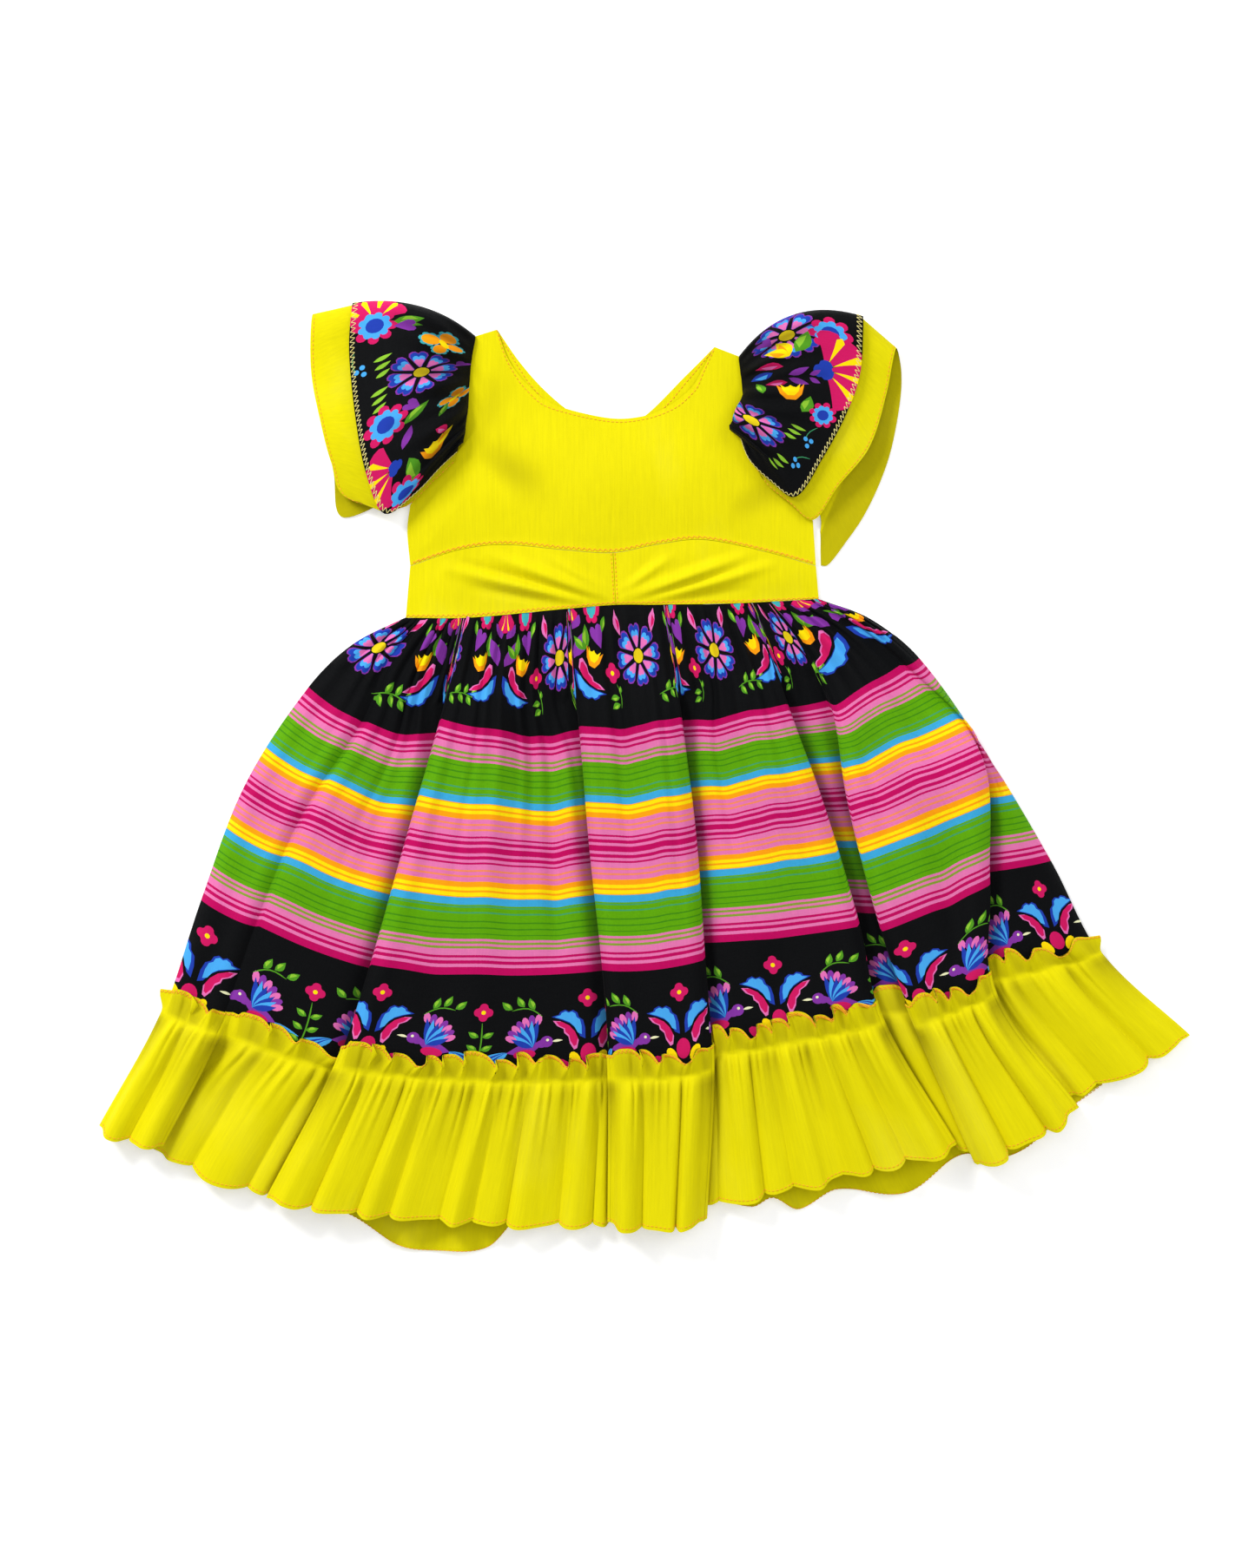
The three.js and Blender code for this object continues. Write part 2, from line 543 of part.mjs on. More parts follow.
// A sleeve's middle surface on the print's side, row by row from the armhole seam out. Its front half arches
// over its back half, which lies on the table.
function sleeveGrid(sleeve, rows) {
  const lines = (half) =>
    Object.fromEntries(
      Object.entries(half).map(([name, line]) => {
        const x = track(SHARES, line.x);
        const y = track(SHARES, line.y);
        return [name, (share) => new THREE.Vector2(x(share), y(share))];
      }),
    );
  const front = lines(sleeve.front);
  const back = lines(sleeve.back);
  const swell = track([0, 0.1, 0.25, 0.5, 1, 2], [0, 0.4, 0.85, 1, 0.66, 0.4]);
  const flutter = track([0, 0.5, 1, 2], [0, 0.2, 1.4, 1.8]);
  const gather = track([0, 0.1, 0.45, 0.8], [0, 1, 0.8, 0]);
  return rows.map((out) => {
    const row = SWEEP.map(({ share, level }) => {
      const at = (name) => back[name](share).lerp(front[name](share), level);
      const seam = at("seam");
      const hem = at("print");
      const place = out <= 1 ? seam.clone().lerp(hem, out) : hem.clone().lerp(at("under"), out - 1);
      const along = hem.clone().sub(seam).normalize();
      const facing = along.x < 0 ? 1 : -1;
      const outward = new THREE.Vector2(facing * along.y, -facing * along.x);
      const bow = 4 * Math.min(out, 1) * (1 - Math.min(out, 1));
      place.addScaledVector(outward, sleeve.bulge.fold * bow * (1 - ease(0, 0.5, share)));
      place.addScaledVector(outward, sleeve.bulge.underarm * bow * ease(0.5, 1, share) * (1 - level));
      const body = sleeve.puff * swell(out) * (1 - 0.6 * ease(0.5, 1, share));
      const gathers = gather(out) * Math.cos(2 * Math.PI * SLEEVE_WAVES * share);
      const sway = flutter(out) * Math.cos(4 * Math.PI * share + 0.7);
      const low = TABLE_LAYER - (LAYER - SLACK) * ease(1, 1.5, out);
      const high = TABLE_LAYER + 3 * LAYER + body + gathers + sway;
      return new THREE.Vector3(place.x, place.y, lerp(low, high, level));
    });
    return sleeve.name === "right" ? row.reverse() : row;
  });
}

const dress = new THREE.Group();
const add = (name, colour, grid, isFlat) => {
  const material = new THREE.MeshStandardMaterial({ color: colour, roughness: 0.75, metalness: 0 });
  const mesh = new THREE.Mesh(wall(grid, isFlat), material);
  mesh.name = name;
  dress.add(mesh);
};

add("bodice_front", COLOURS.yellow, bodice(NECKLINE, 6, frontHeight));
add("bodice_back", COLOURS.yellow, bodice(BACK_NECKLINE, 2, () => TABLE_LAYER), true);
add("waistband_front_right", COLOURS.yellow, rightBand);
add("waistband_front_left", COLOURS.yellow, leftBand);
add("waistband_back", COLOURS.yellow, backBand(), true);
add("skirt_front", COLOURS.stripes, skirtFront());
add("skirt_back", COLOURS.stripes, skirtBack(), true);
add("ruffle_front", COLOURS.yellow, ruffleFront());
add("ruffle_back", COLOURS.yellow, ruffleBack(), true);
for (const sleeve of SLEEVES) {
  const under = movedOut(sleeveGrid(sleeve, UNDER_ROWS), () => -LAYER);
  add("sleeve_" + sleeve.name + "_print", COLOURS.print, sleeveGrid(sleeve, PRINT_ROWS));
  add("sleeve_" + sleeve.name + "_under", COLOURS.yellow, under);
}

// The origin is the middle of the outline, on the table.
const middle = new THREE.Box3().setFromObject(dress).getCenter(new THREE.Vector3());
for (const mesh of dress.children) mesh.geometry.translate(-middle.x, -middle.y, 0);

export default dress;
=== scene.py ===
"""The looks of a child's folk-dance dress that lies flat, front side up.

Every cloth piece is a fine grid on the form of its solid. Sizes are in millimetres on the table, +X to the
right of the front view, +Y from hem to neck and +Z up, and become metres when a mesh is made. A printed
piece also has flat coordinates, the place of each point on the cloth before it was gathered. Its motifs are
outlines in those coordinates, cut into the mesh, so that they follow every fold.
"""

import math

import bpy
import numpy as np
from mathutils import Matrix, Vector
from mathutils.geometry import delaunay_2d_cdt
from mathutils.kdtree import KDTree


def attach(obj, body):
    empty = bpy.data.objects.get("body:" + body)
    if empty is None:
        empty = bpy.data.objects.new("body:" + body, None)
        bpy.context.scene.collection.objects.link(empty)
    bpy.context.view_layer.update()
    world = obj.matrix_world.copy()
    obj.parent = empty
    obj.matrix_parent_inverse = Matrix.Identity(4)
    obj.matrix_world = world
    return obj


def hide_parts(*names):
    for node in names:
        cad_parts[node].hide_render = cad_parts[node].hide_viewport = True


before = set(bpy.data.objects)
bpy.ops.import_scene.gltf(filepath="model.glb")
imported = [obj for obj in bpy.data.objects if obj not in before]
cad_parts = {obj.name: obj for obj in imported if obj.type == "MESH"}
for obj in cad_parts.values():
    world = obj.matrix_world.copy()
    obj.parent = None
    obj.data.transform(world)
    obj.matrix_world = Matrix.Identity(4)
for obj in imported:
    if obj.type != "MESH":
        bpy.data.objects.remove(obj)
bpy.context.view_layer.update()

MM = 0.001
CLOTH = 1.0  # wall of every cloth piece
SEAM_GAP = 0.3
LAYER = CLOTH + SEAM_GAP
TABLE_LAYER = CLOTH / 2
SECOND_LAYER = TABLE_LAYER + LAYER
SKIRT_LENGTH = 338
HEADING_TOP = 313
GATHER_LINE = 330
RUFFLE_HEM = 427
HEADING_OVERHANG = 7
BORDER_ENDS = 83  # where the upper border gives way to the stripes
STRIPES_MIDDLE = 166.5  # the stripes are mirrored about this line
EDGE_RADIUS = 1.5
HIDDEN_RADIUS = 2.8
SHORTEST_ROLL = 1.2
ROLL_STEPS = 7


def table(columns, rows):
    """A table's rows by the names of its columns. A row may leave out the last columns."""
    return [dict(zip(columns.split(), row)) for row in rows]


# Distances down the cloth at which the tables below give a place, from the waist seam.
LEVELS = [0, 40, 83, 166, 250, GATHER_LINE, RUFFLE_HEM]
SIDE_SEAMS = table("x y", [
    ([-165, -202, -232, -276, -306, -332, -375], [110, 91, 62, -6, -85, -162, -241]),
    ([120, 156, 189, 236, 280, 314, 375], [123, 109, 82, 15.5, -58, -122, -179]),
])
# One row for each fold: which side lies on top, the levels between which it forms, its visible edge, how much
# cloth it hides, and how far the rows of the lower layer hang below those of the upper one.
FOLDS = table("over forms x y hidden lower", [
    ("left", [300, 370], [-152, -176, -194, -236, -268, -294, -333], [110, 79, 37.5, -27, -103, -177, -253],
     [1, 1, 1, 1, 1, 4, 12], [0] * 7),
    ("right", [10, 120], [-124, -132, -141, -165, -189, -213, -259], [113, 76, 40, -44, -129, -200, -290],
     [1, 2, 5, 9, 11, 12, 12], [0, 4, 9, 8, 6, 4, 0]),
    ("right", [10, 120], [-52, -50, -45, -38, -29, -24, -24], [116, 76, 35, -48, -133, -207, -306],
     [1, 2, 4, 8, 12, 12, 12], [0, 1, 2, 0, -1, 0, 0]),
    ("left", [10, 120], [14, 20, 25, 35, 41, 46, 41], [118, 78, 41, -42, -126, -202, -305],
     [1, 2, 5, 9, 12, 12, 12], [0, 1, 2, -6, -11, -8, -8]),
    ("left", [10, 120], [72, 86, 98, 123, 147, 163, 213], [121, 86, 50, -21, -103, -170, -254],
     [1, 2, 5, 9, 12, 12, 12], [0, 1, 2, -6, -11, -8, -4]),
    ("right", [30, 140], [86, 110, 128, 140, 162, 186, 228], [121, 90, 50, -21, -106, -171, -266],
     [1, 2, 3, 9, 12, 12, 12], [0, -1, -3, -8, -12, -8, -8]),
    ("left", [108, 206], [112, 142, 177, 231, 237, 240, 297], [122, 106, 77, 14, -75, -150, -229],
     [1, 1, 2, 5, 12, 12, 12], [0, 0, 0, -2, -8, -6, -4]),
])
# One row for each stretch between two folds: columns of the mesh, small gathers under the waist, ruffle
# waves, how far its rows sag and its cloth puffs up, and where its two ends lie on the flat print, near the
# waist (top) and near the hem (low). What the print skips from one stretch to the next is hidden in the fold.
STRETCHES = table("columns gathers waves sag puff top low", [
    (14, 3, 2, 2, 3, [-19, 19], [-10, 25]),
    (30, 5, 3, 3, 4, [20, 80], [27, 116]),
    (62, 8, 9, 6, 4, [165, 304], [134, 321]),
    (28, 6, 3, 3, 3, [372, 475], [387, 460]),
    (44, 6, 7, 2, 4, [540, 650], [526, 652]),
    (14, 2, 1, 1, 1, [700, 745], [667, 714]),
    (24, 4, 3, 1, 4, [778, 817], [726, 786]),
    (26, 3, 3, 1, 3, [818, 845], [812, 905]),
])
BACK_RISES = [250, 290]  # between these levels the back skirt climbs on to the back ruffle's heading
# The front hem, and how far the back one hangs below it.
HEM_LINE = {
    "x": [-375, -343, -313, -284, -253, -208, -148, -88, -28, 2, 32, 46, 90, 136, 181, 211, 241, 256, 286,
          316, 346, 375],
    "y": [-241, -257, -269, -275, -293, -303, -307, -306, -306, -310, -308, -297, -293, -288, -278, -266,
          -262, -254, -230, -215, -200, -179],
}
BACK_HEM = {
    "x": [-375, -340, -260, -205, -170, -140, -108, -84, -50, -18, 30, 74, 88, 106, 132, 182, 222, 268, 330,
          375],
    "drop": [-1, -6, -6, -2, 17, 20, 18, -4, 3, -6, -9, 3, -3, 7, -4, 9, -4, 8, -6, -1],
}

# Outlines on the table.
NECKLINE = [[-102, 309], [-94, 288], [-80, 270], [-62, 257], [-26, 248], [-2, 249], [16, 256], [32, 269],
            [40, 282], [48, 297]]
BACK_NECKLINE = [[-102, 309], [-86, 286], [-68, 266], [-48, 250], [-26, 240], [-2, 248], [28, 277], [48, 297]]
RIGHT_ARMHOLE = [[-118, 304], [-123, 279], [-124, 255], [-128, 231], [-140, 210], [-162, 188]]
LEFT_ARMHOLE = [[66, 290], [69, 267], [72, 243], [80, 219], [92, 198], [116, 177]]
RIGHT_SIDE = [[-162, 188], [-164, 170], [-162, 146]]
LEFT_SIDE = [[116, 177], [117, 162], [118, 146]]
BODICE_SEAM = {
    "x": [-162, -128, -98, -56, -22, 10, 40, 82, 118],
    "y": [146, 157, 160.5, 157, 155, 161, 164, 156, 146],
}
WAIST_SEAM = {"x": [-165, -122, -56, -20, 10, 64, 120], "y": [110, 110, 116, 119, 119, 120, 123]}
BAND_MEETS = {"top": -22, "bottom": -20}  # the front waistband's centre seam
BAND_PLEATS = 3
PLEAT_RISE = 2.6
BODICE_RISE = 3.4
BAND_RISE = 1.4

# Sleeves. Every column of a table is a place along a line, from the shoulder fold to the underarm end.
SHARES = [0, 0.2, 0.4, 0.55, 0.7, 0.82, 0.92, 1]
SLEEVES = [
    {
        "name": "right", "puff": 20, "bulge": [9, 2], "overhang": 3,
        "front": {
            "seam": [[-116.5, -119.5, -121, -121.8, -122.5, -124, -125, -127],
                     [304.5, 290, 276, 264, 253, 244, 238, 231]],
            "print": [[-201, -203, -198, -191, -179, -159, -142, -129.5],
                      [326, 291, 243, 207, 181, 194, 212, 224]],
            "under": [[-230, -230, -223, -216, -206, -168, -145, -130],
                      [320, 279, 243, 216, 192, 185, 204, 218]],
        },
        "back": {
            "seam": [[-119, -121.8, -124.3, -125, -125.3, -126.8, -128, -130],
                     [304.5, 290, 276, 264, 253, 244, 238, 231]],
            "print": [[-201, -203, -200, -195, -185, -165, -149, -134],
                      [326, 292, 248, 218, 196, 202, 212, 224]],
            "under": [[-228, -228, -222, -215, -210, -183, -158, -138.5],
                      [320, 279, 243, 210, 180, 188, 202, 217.5]],
        },
    },
    {
        "name": "left", "puff": 18, "bulge": [15, 9], "overhang": 13,
        "front": {
            "seam": [[64.5, 66.2, 67.5, 68.4, 69, 68.8, 68, 66.5],
                     [290.5, 279, 268, 260, 252, 247, 243.5, 241]],
            "print": [[150, 148, 138, 122, 104, 87, 72, 65.5], [317, 279, 249, 219, 193, 203, 218, 235]],
            "under": [[172, 166, 154, 133, 116, 98, 80, 67], [296, 262, 226, 200, 177, 190, 206, 230]],
        },
        "back": {
            "seam": [[67, 69.2, 71.9, 76, 82, 88.5, 95, 101],
                     [290.5, 272, 255, 238, 222, 209.5, 200.5, 194]],
            "print": [[150, 153, 149, 143, 136, 129, 124, 121], [317, 285, 250, 226, 206, 189, 177, 169]],
            "under": [[176, 177, 171, 163, 151, 138, 127, 121.5], [297, 267, 230, 205, 180, 161, 147, 146]],
        },
    },
]
FOLD_ROLL = 0.1  # share of the sweep that the roll over the shoulder takes
SLACK = 0.15
SLEEVE_WAVES = 5
SLEEVE_GATHER = 1.3
SLEEVE_DEPTH = 72  # from the armhole seam to the print's hem, on the flat cloth
UNDER_TUCK = 3.0  # how far the lower layer keeps below the upper one's puff


def lerp(a, b, t):
    return a + (b - a) * t


def ease(a, b, k):
    t = np.clip((k - a) / (b - a), 0, 1)
    return t * t * (3 - 2 * t)


def track(knots, values):
    """A smooth curve through values given at rising knots, and level past both ends."""
    knots = np.array(knots, float)
    values = np.array(values, float)
    last = len(knots) - 1
    before = np.maximum(np.arange(last + 1) - 1, 0)
    after = np.minimum(np.arange(last + 1) + 1, last)
    slope = (values[after] - values[before]) / (knots[after] - knots[before])

    def at(k):
        k = np.clip(k, knots[0], knots[-1])
        i = np.clip(np.searchsorted(knots, k, side="right") - 1, 0, last - 1)
        h = knots[i + 1] - knots[i]
        t = (k - knots[i]) / h
        bend = t * (1 - t) * h * ((1 - t) * slope[i] - t * slope[i + 1])
        return lerp(values[i], values[i + 1], t * t * (3 - 2 * t)) + bend

    return at


def path(points):
    """A smooth path through points, as a function of its share from 0 to 1."""
    knots = np.linspace(0, 1, len(points))
    x = track(knots, [p[0] for p in points])
    y = track(knots, [p[1] for p in points])
    return lambda t: (x(t), y(t))


def normals_of(grid):
    """The upper side's normals of a grid of points, rows from neck to hem and columns from left to right."""
    normal = np.cross(np.gradient(grid, axis=0), np.gradient(grid, axis=1))
    return normal / np.maximum(np.linalg.norm(normal, axis=2, keepdims=True), 1e-9)


def uneven(phase, seed):
    """A phase whose waves are wider and narrower by turns."""
    return phase + 0.16 * np.sin(2.3 * phase + seed) + 0.09 * np.sin(5.1 * phase + 2 * seed)


def hill(phase):
    """0 at whole phases and 1 halfway."""
    return (1 - np.cos(2 * np.pi * phase)) / 2


# The front skirt's rows of stations. A station is one row of numbers, in this order.
COLUMNS = 10
X, Y, Z, FREE, WAVE, GATHER, FLAT, TALL, LEAN, DIP = range(COLUMNS)

right_seam, left_seam = [{key: track(LEVELS, seam[key]) for key in "xy"} for seam in SIDE_SEAMS]
folds = [
    {**fold, **{key: track(LEVELS, fold[key]) for key in ("x", "y", "hidden", "lower")}} for fold in FOLDS
]
low_height = track([0, 20, 50, 83, 166, 290, GATHER_LINE, RUFFLE_HEM], [2.6, 5, 5.6, 5, 4.6, 4.8, 5, 3.6])


def back_height(v):
    return TABLE_LAYER + LAYER * ease(*BACK_RISES, v)


PRINT_SHIFTS = [60, 250]  # levels between which the print moves from its top ends to its low ones
PUFF_GROWS = [0, 60]  # levels between which a stretch puffs up
PUFF_FALLS = [166, GATHER_LINE]  # levels between which it falls to half
FOLD_PRINT = [0.04, 0.96]  # shares of the skipped print at a fold's two ends
FOLD_MARGIN = 9  # width beside a fold over which waves and gathers grow
DIP_DEPTH = 2.6  # beside a fold the lower layer sinks and the upper one rises
DIP_MIDDLE = 2
DIP_WIDTH = 7.5
DIP_GROWS = [2, 8]  # widths of hidden cloth between which the lower layer's dip grows
RISE_GROWS = [60, 150]  # levels between which the upper layer's rise grows
WAVE_HEIGHT = 0.76  # the waves' mean share of their full height, and how far it varies
WAVE_VARIES = 0.24
LEAN_WIDTH = 80  # distance from the middle at which a wave leans fully outwards
LEAN_VARIES = 0.5
HOLLOW_SHADE = 0.6  # painted shade: how far the colour of the cloth deepest beside a fold is darkened


def print_ends(stretch, v):
    return lerp(np.array(stretch["top"], float), np.array(stretch["low"], float), ease(*PRINT_SHIFTS, v))


def fold_stations(fold, v, flat_from, flat_to):
    """One fold at one level, from left to right: it rolls over, runs back and rolls forward again."""
    turn = max(0.01, math.pi * ease(*fold["forms"], v))
    edge = max(EDGE_RADIUS, SHORTEST_ROLL / turn)
    hidden = max(HIDDEN_RADIUS, SHORTEST_ROLL / turn)
    back = fold["hidden"](v)
    anchor = edge * math.sin(min(turn, math.pi / 2))
    inner_x = edge * math.sin(turn) + back * math.cos(turn)
    inner_z = -edge * (1 - math.cos(turn)) - back * math.sin(turn)
    drop = hidden * (1 - math.cos(turn)) - inner_z
    angle = turn * np.linspace(0, 1, ROLL_STEPS + 1)
    sideways = [edge * np.sin(angle), inner_x + hidden * (math.sin(turn) - np.sin(angle[::-1]))]
    up = [edge * (np.cos(angle) - 1), inner_z - hidden * (np.cos(angle[::-1]) - math.cos(turn))]
    share = np.linspace(0, 1, 2 * (ROLL_STEPS + 1))
    facing = 1 if fold["over"] == "left" else -1
    row = np.zeros((len(share), COLUMNS))
    row[:, X] = fold["x"](v) + facing * (np.concatenate(sideways) - anchor)
    row[:, Y] = fold["y"](v) - fold["lower"](v) * share
    row[:, Z] = low_height(v) + drop + np.concatenate(up)
    if facing < 0:
        row = row[::-1]
    row[:, FLAT] = lerp(flat_from, flat_to, np.linspace(*FOLD_PRINT, len(share)))
    return row


def stretch_stations(stretch, number, start, end, v, columns, hidden_left, hidden_right):
    """A stretch of cloth between two folds, ends left out."""
    t = np.arange(1, columns) / columns
    width = abs(end[X] - start[X])
    arch = 4 * t * (1 - t)
    rise = stretch["puff"] * ease(*PUFF_GROWS, v) * (1 - ease(*PUFF_FALLS, v) / 2)
    row = np.zeros((len(t), COLUMNS))
    row[:, X] = lerp(start[X], end[X], t)
    row[:, Y] = lerp(start[Y], end[Y], t) - stretch["sag"] * arch
    row[:, Z] = lerp(start[Z], end[Z], ease(0, 1, t)) + rise * arch
    to_left, to_right = width * t, width * (1 - t)
    row[:, FREE] = ease(0, FOLD_MARGIN, to_left - hidden_left) * ease(0, FOLD_MARGIN, to_right - hidden_right)
    row[:, WAVE] = t * stretch["waves"]
    row[:, GATHER] = t * stretch["gathers"]
    for away, hidden in ((to_left, hidden_left), (to_right, hidden_right)):
        sinks = np.exp(-((away - hidden - DIP_MIDDLE) / DIP_WIDTH) ** 2) * ease(*DIP_GROWS, hidden)
        rises = np.exp(-((away - DIP_WIDTH) / DIP_WIDTH) ** 2) * ease(*RISE_GROWS, v) * (hidden == 0)
        row[:, DIP] += DIP_DEPTH * (sinks - rises)
    flat_left, flat_right = print_ends(stretch, v)
    row[:, FLAT] = lerp(flat_left, flat_right, t)
    row[:, TALL] = WAVE_HEIGHT + WAVE_VARIES * np.sin(3.7 * row[:, WAVE] + 2 * number)
    row[:, LEAN] = np.clip(row[:, X] / LEAN_WIDTH, -1, 1) + LEAN_VARIES * np.sin(2.9 * row[:, WAVE] + number)
    return row


def skirt_row(v, columns_of):
    """One row of the front skirt, from side seam to side seam."""

    def at_seam(seam, flat):
        row = np.zeros((1, COLUMNS))
        row[0, [X, Y, Z, FLAT]] = seam["x"](v), seam["y"](v), back_height(v) + LAYER, flat
        return row

    parts = [at_seam(right_seam, print_ends(STRETCHES[0], v)[0])]
    for k, stretch in enumerate(STRETCHES):
        flat_right = print_ends(stretch, v)[1]
        if k < len(folds):
            after = fold_stations(folds[k], v, flat_right, print_ends(STRETCHES[k + 1], v)[0])
        else:
            after = at_seam(left_seam, flat_right)
        hidden_left = folds[k - 1]["hidden"](v) if k and folds[k - 1]["over"] == "left" else 0
        hidden_right = folds[k]["hidden"](v) if k < len(folds) and folds[k]["over"] == "right" else 0
        parts.append(stretch_stations(stretch, k, parts[-1][-1], after[0], v, columns_of(stretch),
                                      hidden_left, hidden_right))
        parts.append(after)
    return np.concatenate(parts)


# Soft creases, ridges (rise above 0) and troughs, each a line on the table.
SKIRT_CREASES = table("start end width rise", [
    ([-86, 92], [-72, -60], 9, -2.2),
    ([-66, 96], [-60, -120], 8, -2.4),
    ([-100, 88], [-112, -150], 12, 1.6),
    ([-156, 74], [-196, -60], 13, -2.4),
    ([-190, 60], [-250, -100], 14, 2.0),
    ([-20, 90], [-8, -60], 8, -1.8),
    ([4, 92], [18, -120], 7, 1.4),
    ([38, 88], [66, -60], 8, -1.8),
    ([58, 96], [104, -90], 9, 1.6),
    ([116, 92], [168, -30], 8, -1.8),
    ([140, 90], [214, -60], 11, 1.8),
    ([196, -20], [216, -120], 9, -1.8),
    ([88, -110], [96, -170], 12, -1.6),
    ([-150, -100], [-140, -190], 14, -1.6),
])
BODICE_CREASES = table("start end width rise", [
    ([-120, 214], [-96, 176], 9, 1.5),
    ([-112, 226], [-70, 196], 12, -1.4),
    ([-100, 280], [-112, 236], 10, -0.9),
    ([96, 204], [60, 180], 10, -1.2),
    ([30, 240], [52, 200], 16, 1.0),
    ([-30, 236], [-24, 176], 22, 0.9),
])
# The waistband's draped pleats, which fan out from the centre seam's lower end.
BAND_CREASES = table("start end width rise", [
    ([-25, 122], [-108, 154], 4.2, 4.8),
    ([-29, 120], [-124, 148], 2.8, -3.1),
    ([-32, 119], [-136, 144], 4.4, 4.2),
    ([-44, 118], [-118, 131], 3.4, -2.5),
    ([-26, 128], [-66, 152], 3.6, 2.5),
    ([-15, 122], [72, 154], 4.2, 4.8),
    ([-12, 120], [66, 143], 2.8, -3.4),
    ([-8, 119], [86, 146], 4.0, 3.9),
    ([-2, 118], [70, 130], 3.4, -2.2),
    ([-17, 128], [18, 152], 3.4, 2.5),
])


def creased(x, y, creases):
    """How far soft creases raise the cloth at each place."""
    lift = np.zeros(np.shape(x))
    for crease in creases:
        start = np.array(crease["start"], float)
        along = np.array(crease["end"], float) - start
        share = ((x - start[0]) * along[0] + (y - start[1]) * along[1]) / (along @ along)
        near = np.clip(share, 0, 1)
        away = (x - start[0] - near * along[0]) ** 2 + (y - start[1] - near * along[1]) ** 2
        fade = 0.25 + 0.75 * np.sin(np.pi * np.clip(share, 0, 1))
        lift += crease["rise"] * fade * np.exp(-away / crease["width"] ** 2)
    return lift


waist_curve = track(WAIST_SEAM["x"], WAIST_SEAM["y"])
SKIRT_ROWS = np.concatenate([
    np.linspace(0, 12, 6), np.linspace(15, BORDER_ENDS, 20), np.linspace(90, 250, 24),
    np.linspace(254, SKIRT_LENGTH, 20),
])
RUFFLE_ROWS = np.array([
    HEADING_TOP, 315, 318, 321, 324, 327, GATHER_LINE, 332, 334, SKIRT_LENGTH, 343, 350, 358, 367, 377, 388,
    399, 409, 417, 423, RUFFLE_HEM,
], float)
WAVE_COLUMNS = 26
CREASE_DEPTH = 2.2
ROW_SHIFT = 0.45  # how far a raised place moves its row up the picture
PUCKERS = 3.3  # puckers under the gather line, curls of the heading and its taller places, for each wave
CURLS = 1.3
TALL_CURLS = 0.37
MEAN_WAVE = 0.4  # the height about which ripples and waves swing
# Painted shade: the darkest a crease's trough is painted, and how dark the ruffle is painted under the gather
# line and in the heading's curls.
DARKEST_TROUGH = 0.6
UNDER_SHADE = 0.75
HEADING_SHADE = 0.45
gather_depth = track([0, 10, 40, 83, 130, 200, 250], [0.6, 3.0, 3.4, 2.4, 1.5, 0.7, 0])
wave_depth = track([HEADING_TOP, GATHER_LINE, SKIRT_LENGTH, 354, 388, RUFFLE_HEM],
                   [0.4, 0.4, 2.6, 4.8, 6.4, 8.0])
wave_reach = track([HEADING_TOP, GATHER_LINE, 388, RUFFLE_HEM], [0, 0, -1, -5])
wave_lean = track([HEADING_TOP, GATHER_LINE, 350, 388, RUFFLE_HEM], [0, 0, 1.6, 3.2, 4.6])
pucker_depth = track([HEADING_TOP, 322, GATHER_LINE, 336, 352, 378, 400], [0.8, 1.2, 0.3, 2.0, 1.1, 0.3, 0])
heading_rise, heading_dip, heading_lift, heading_sway = [
    track([HEADING_TOP, HEADING_TOP + 5, GATHER_LINE], values)
    for values in ([6.0, 4.6, 0.2], [8.0, 5.0, 0], [5.5, 3.6, 0], [3.2, 2.0, 0])
]
# Where the painted shade under the gather line and on the heading reaches.
under_heading = track([GATHER_LINE, GATHER_LINE + 6, GATHER_LINE + 18, GATHER_LINE + 60], [0, 1, 0.7, 0])
above_heading = track([HEADING_TOP, HEADING_TOP + 4, GATHER_LINE - 1, GATHER_LINE], [0.3, 1, 1, 0])


def crease_shade(points, creases, strength):
    """The painted shade in the troughs of the creases."""
    return np.clip(-strength * creased(points[..., X], points[..., Y], creases), 0, DARKEST_TROUGH)


def crest(phase):
    """Round crests between sharp valleys, 0 at whole phases and 1 halfway."""
    return np.abs(np.sin(np.pi * phase)) ** 0.75


def skirt_base(stations):
    points = stations[..., :3].copy()
    loose = ease(0, 0.1, stations[..., FREE] + 0.05)
    lift = CREASE_DEPTH * creased(points[..., X], points[..., Y], SKIRT_CREASES) * loose
    points[..., Z] += lift - stations[..., DIP]
    points[..., Y] += ROW_SHIFT * lift
    return points


def skirt_front():
    stations = np.array([skirt_row(v, lambda stretch: stretch["columns"]) for v in SKIRT_ROWS])
    points = skirt_base(stations)
    down = SKIRT_ROWS[:, None]
    free = np.where(down < 60, 1, stations[..., FREE])
    gather = stations[..., GATHER]
    ripple = hill(uneven(gather, 1.0)) + 0.35 * hill(uneven(2.6 * gather, 2.0)) * ease(60, 10, down)
    ripple[:, [0, -1]] = MEAN_WAVE
    points[..., Z] += gather_depth(down) * (ripple - MEAN_WAVE) * free
    points[..., Z] = np.maximum(points[..., Z], back_height(down) + LAYER)
    points[0, :, Y] = waist_curve(points[0, :, X]) - SEAM_GAP
    flat = np.stack([stations[..., FLAT], np.broadcast_to(-down, gather.shape)], axis=2)
    # Painted shade on the lower layer beside each fold, darker where it sinks.
    depth = HOLLOW_SHADE * np.clip(stations[..., DIP] / DIP_DEPTH, 0, 1) * ease(15, 100, down)
    return points, flat, depth


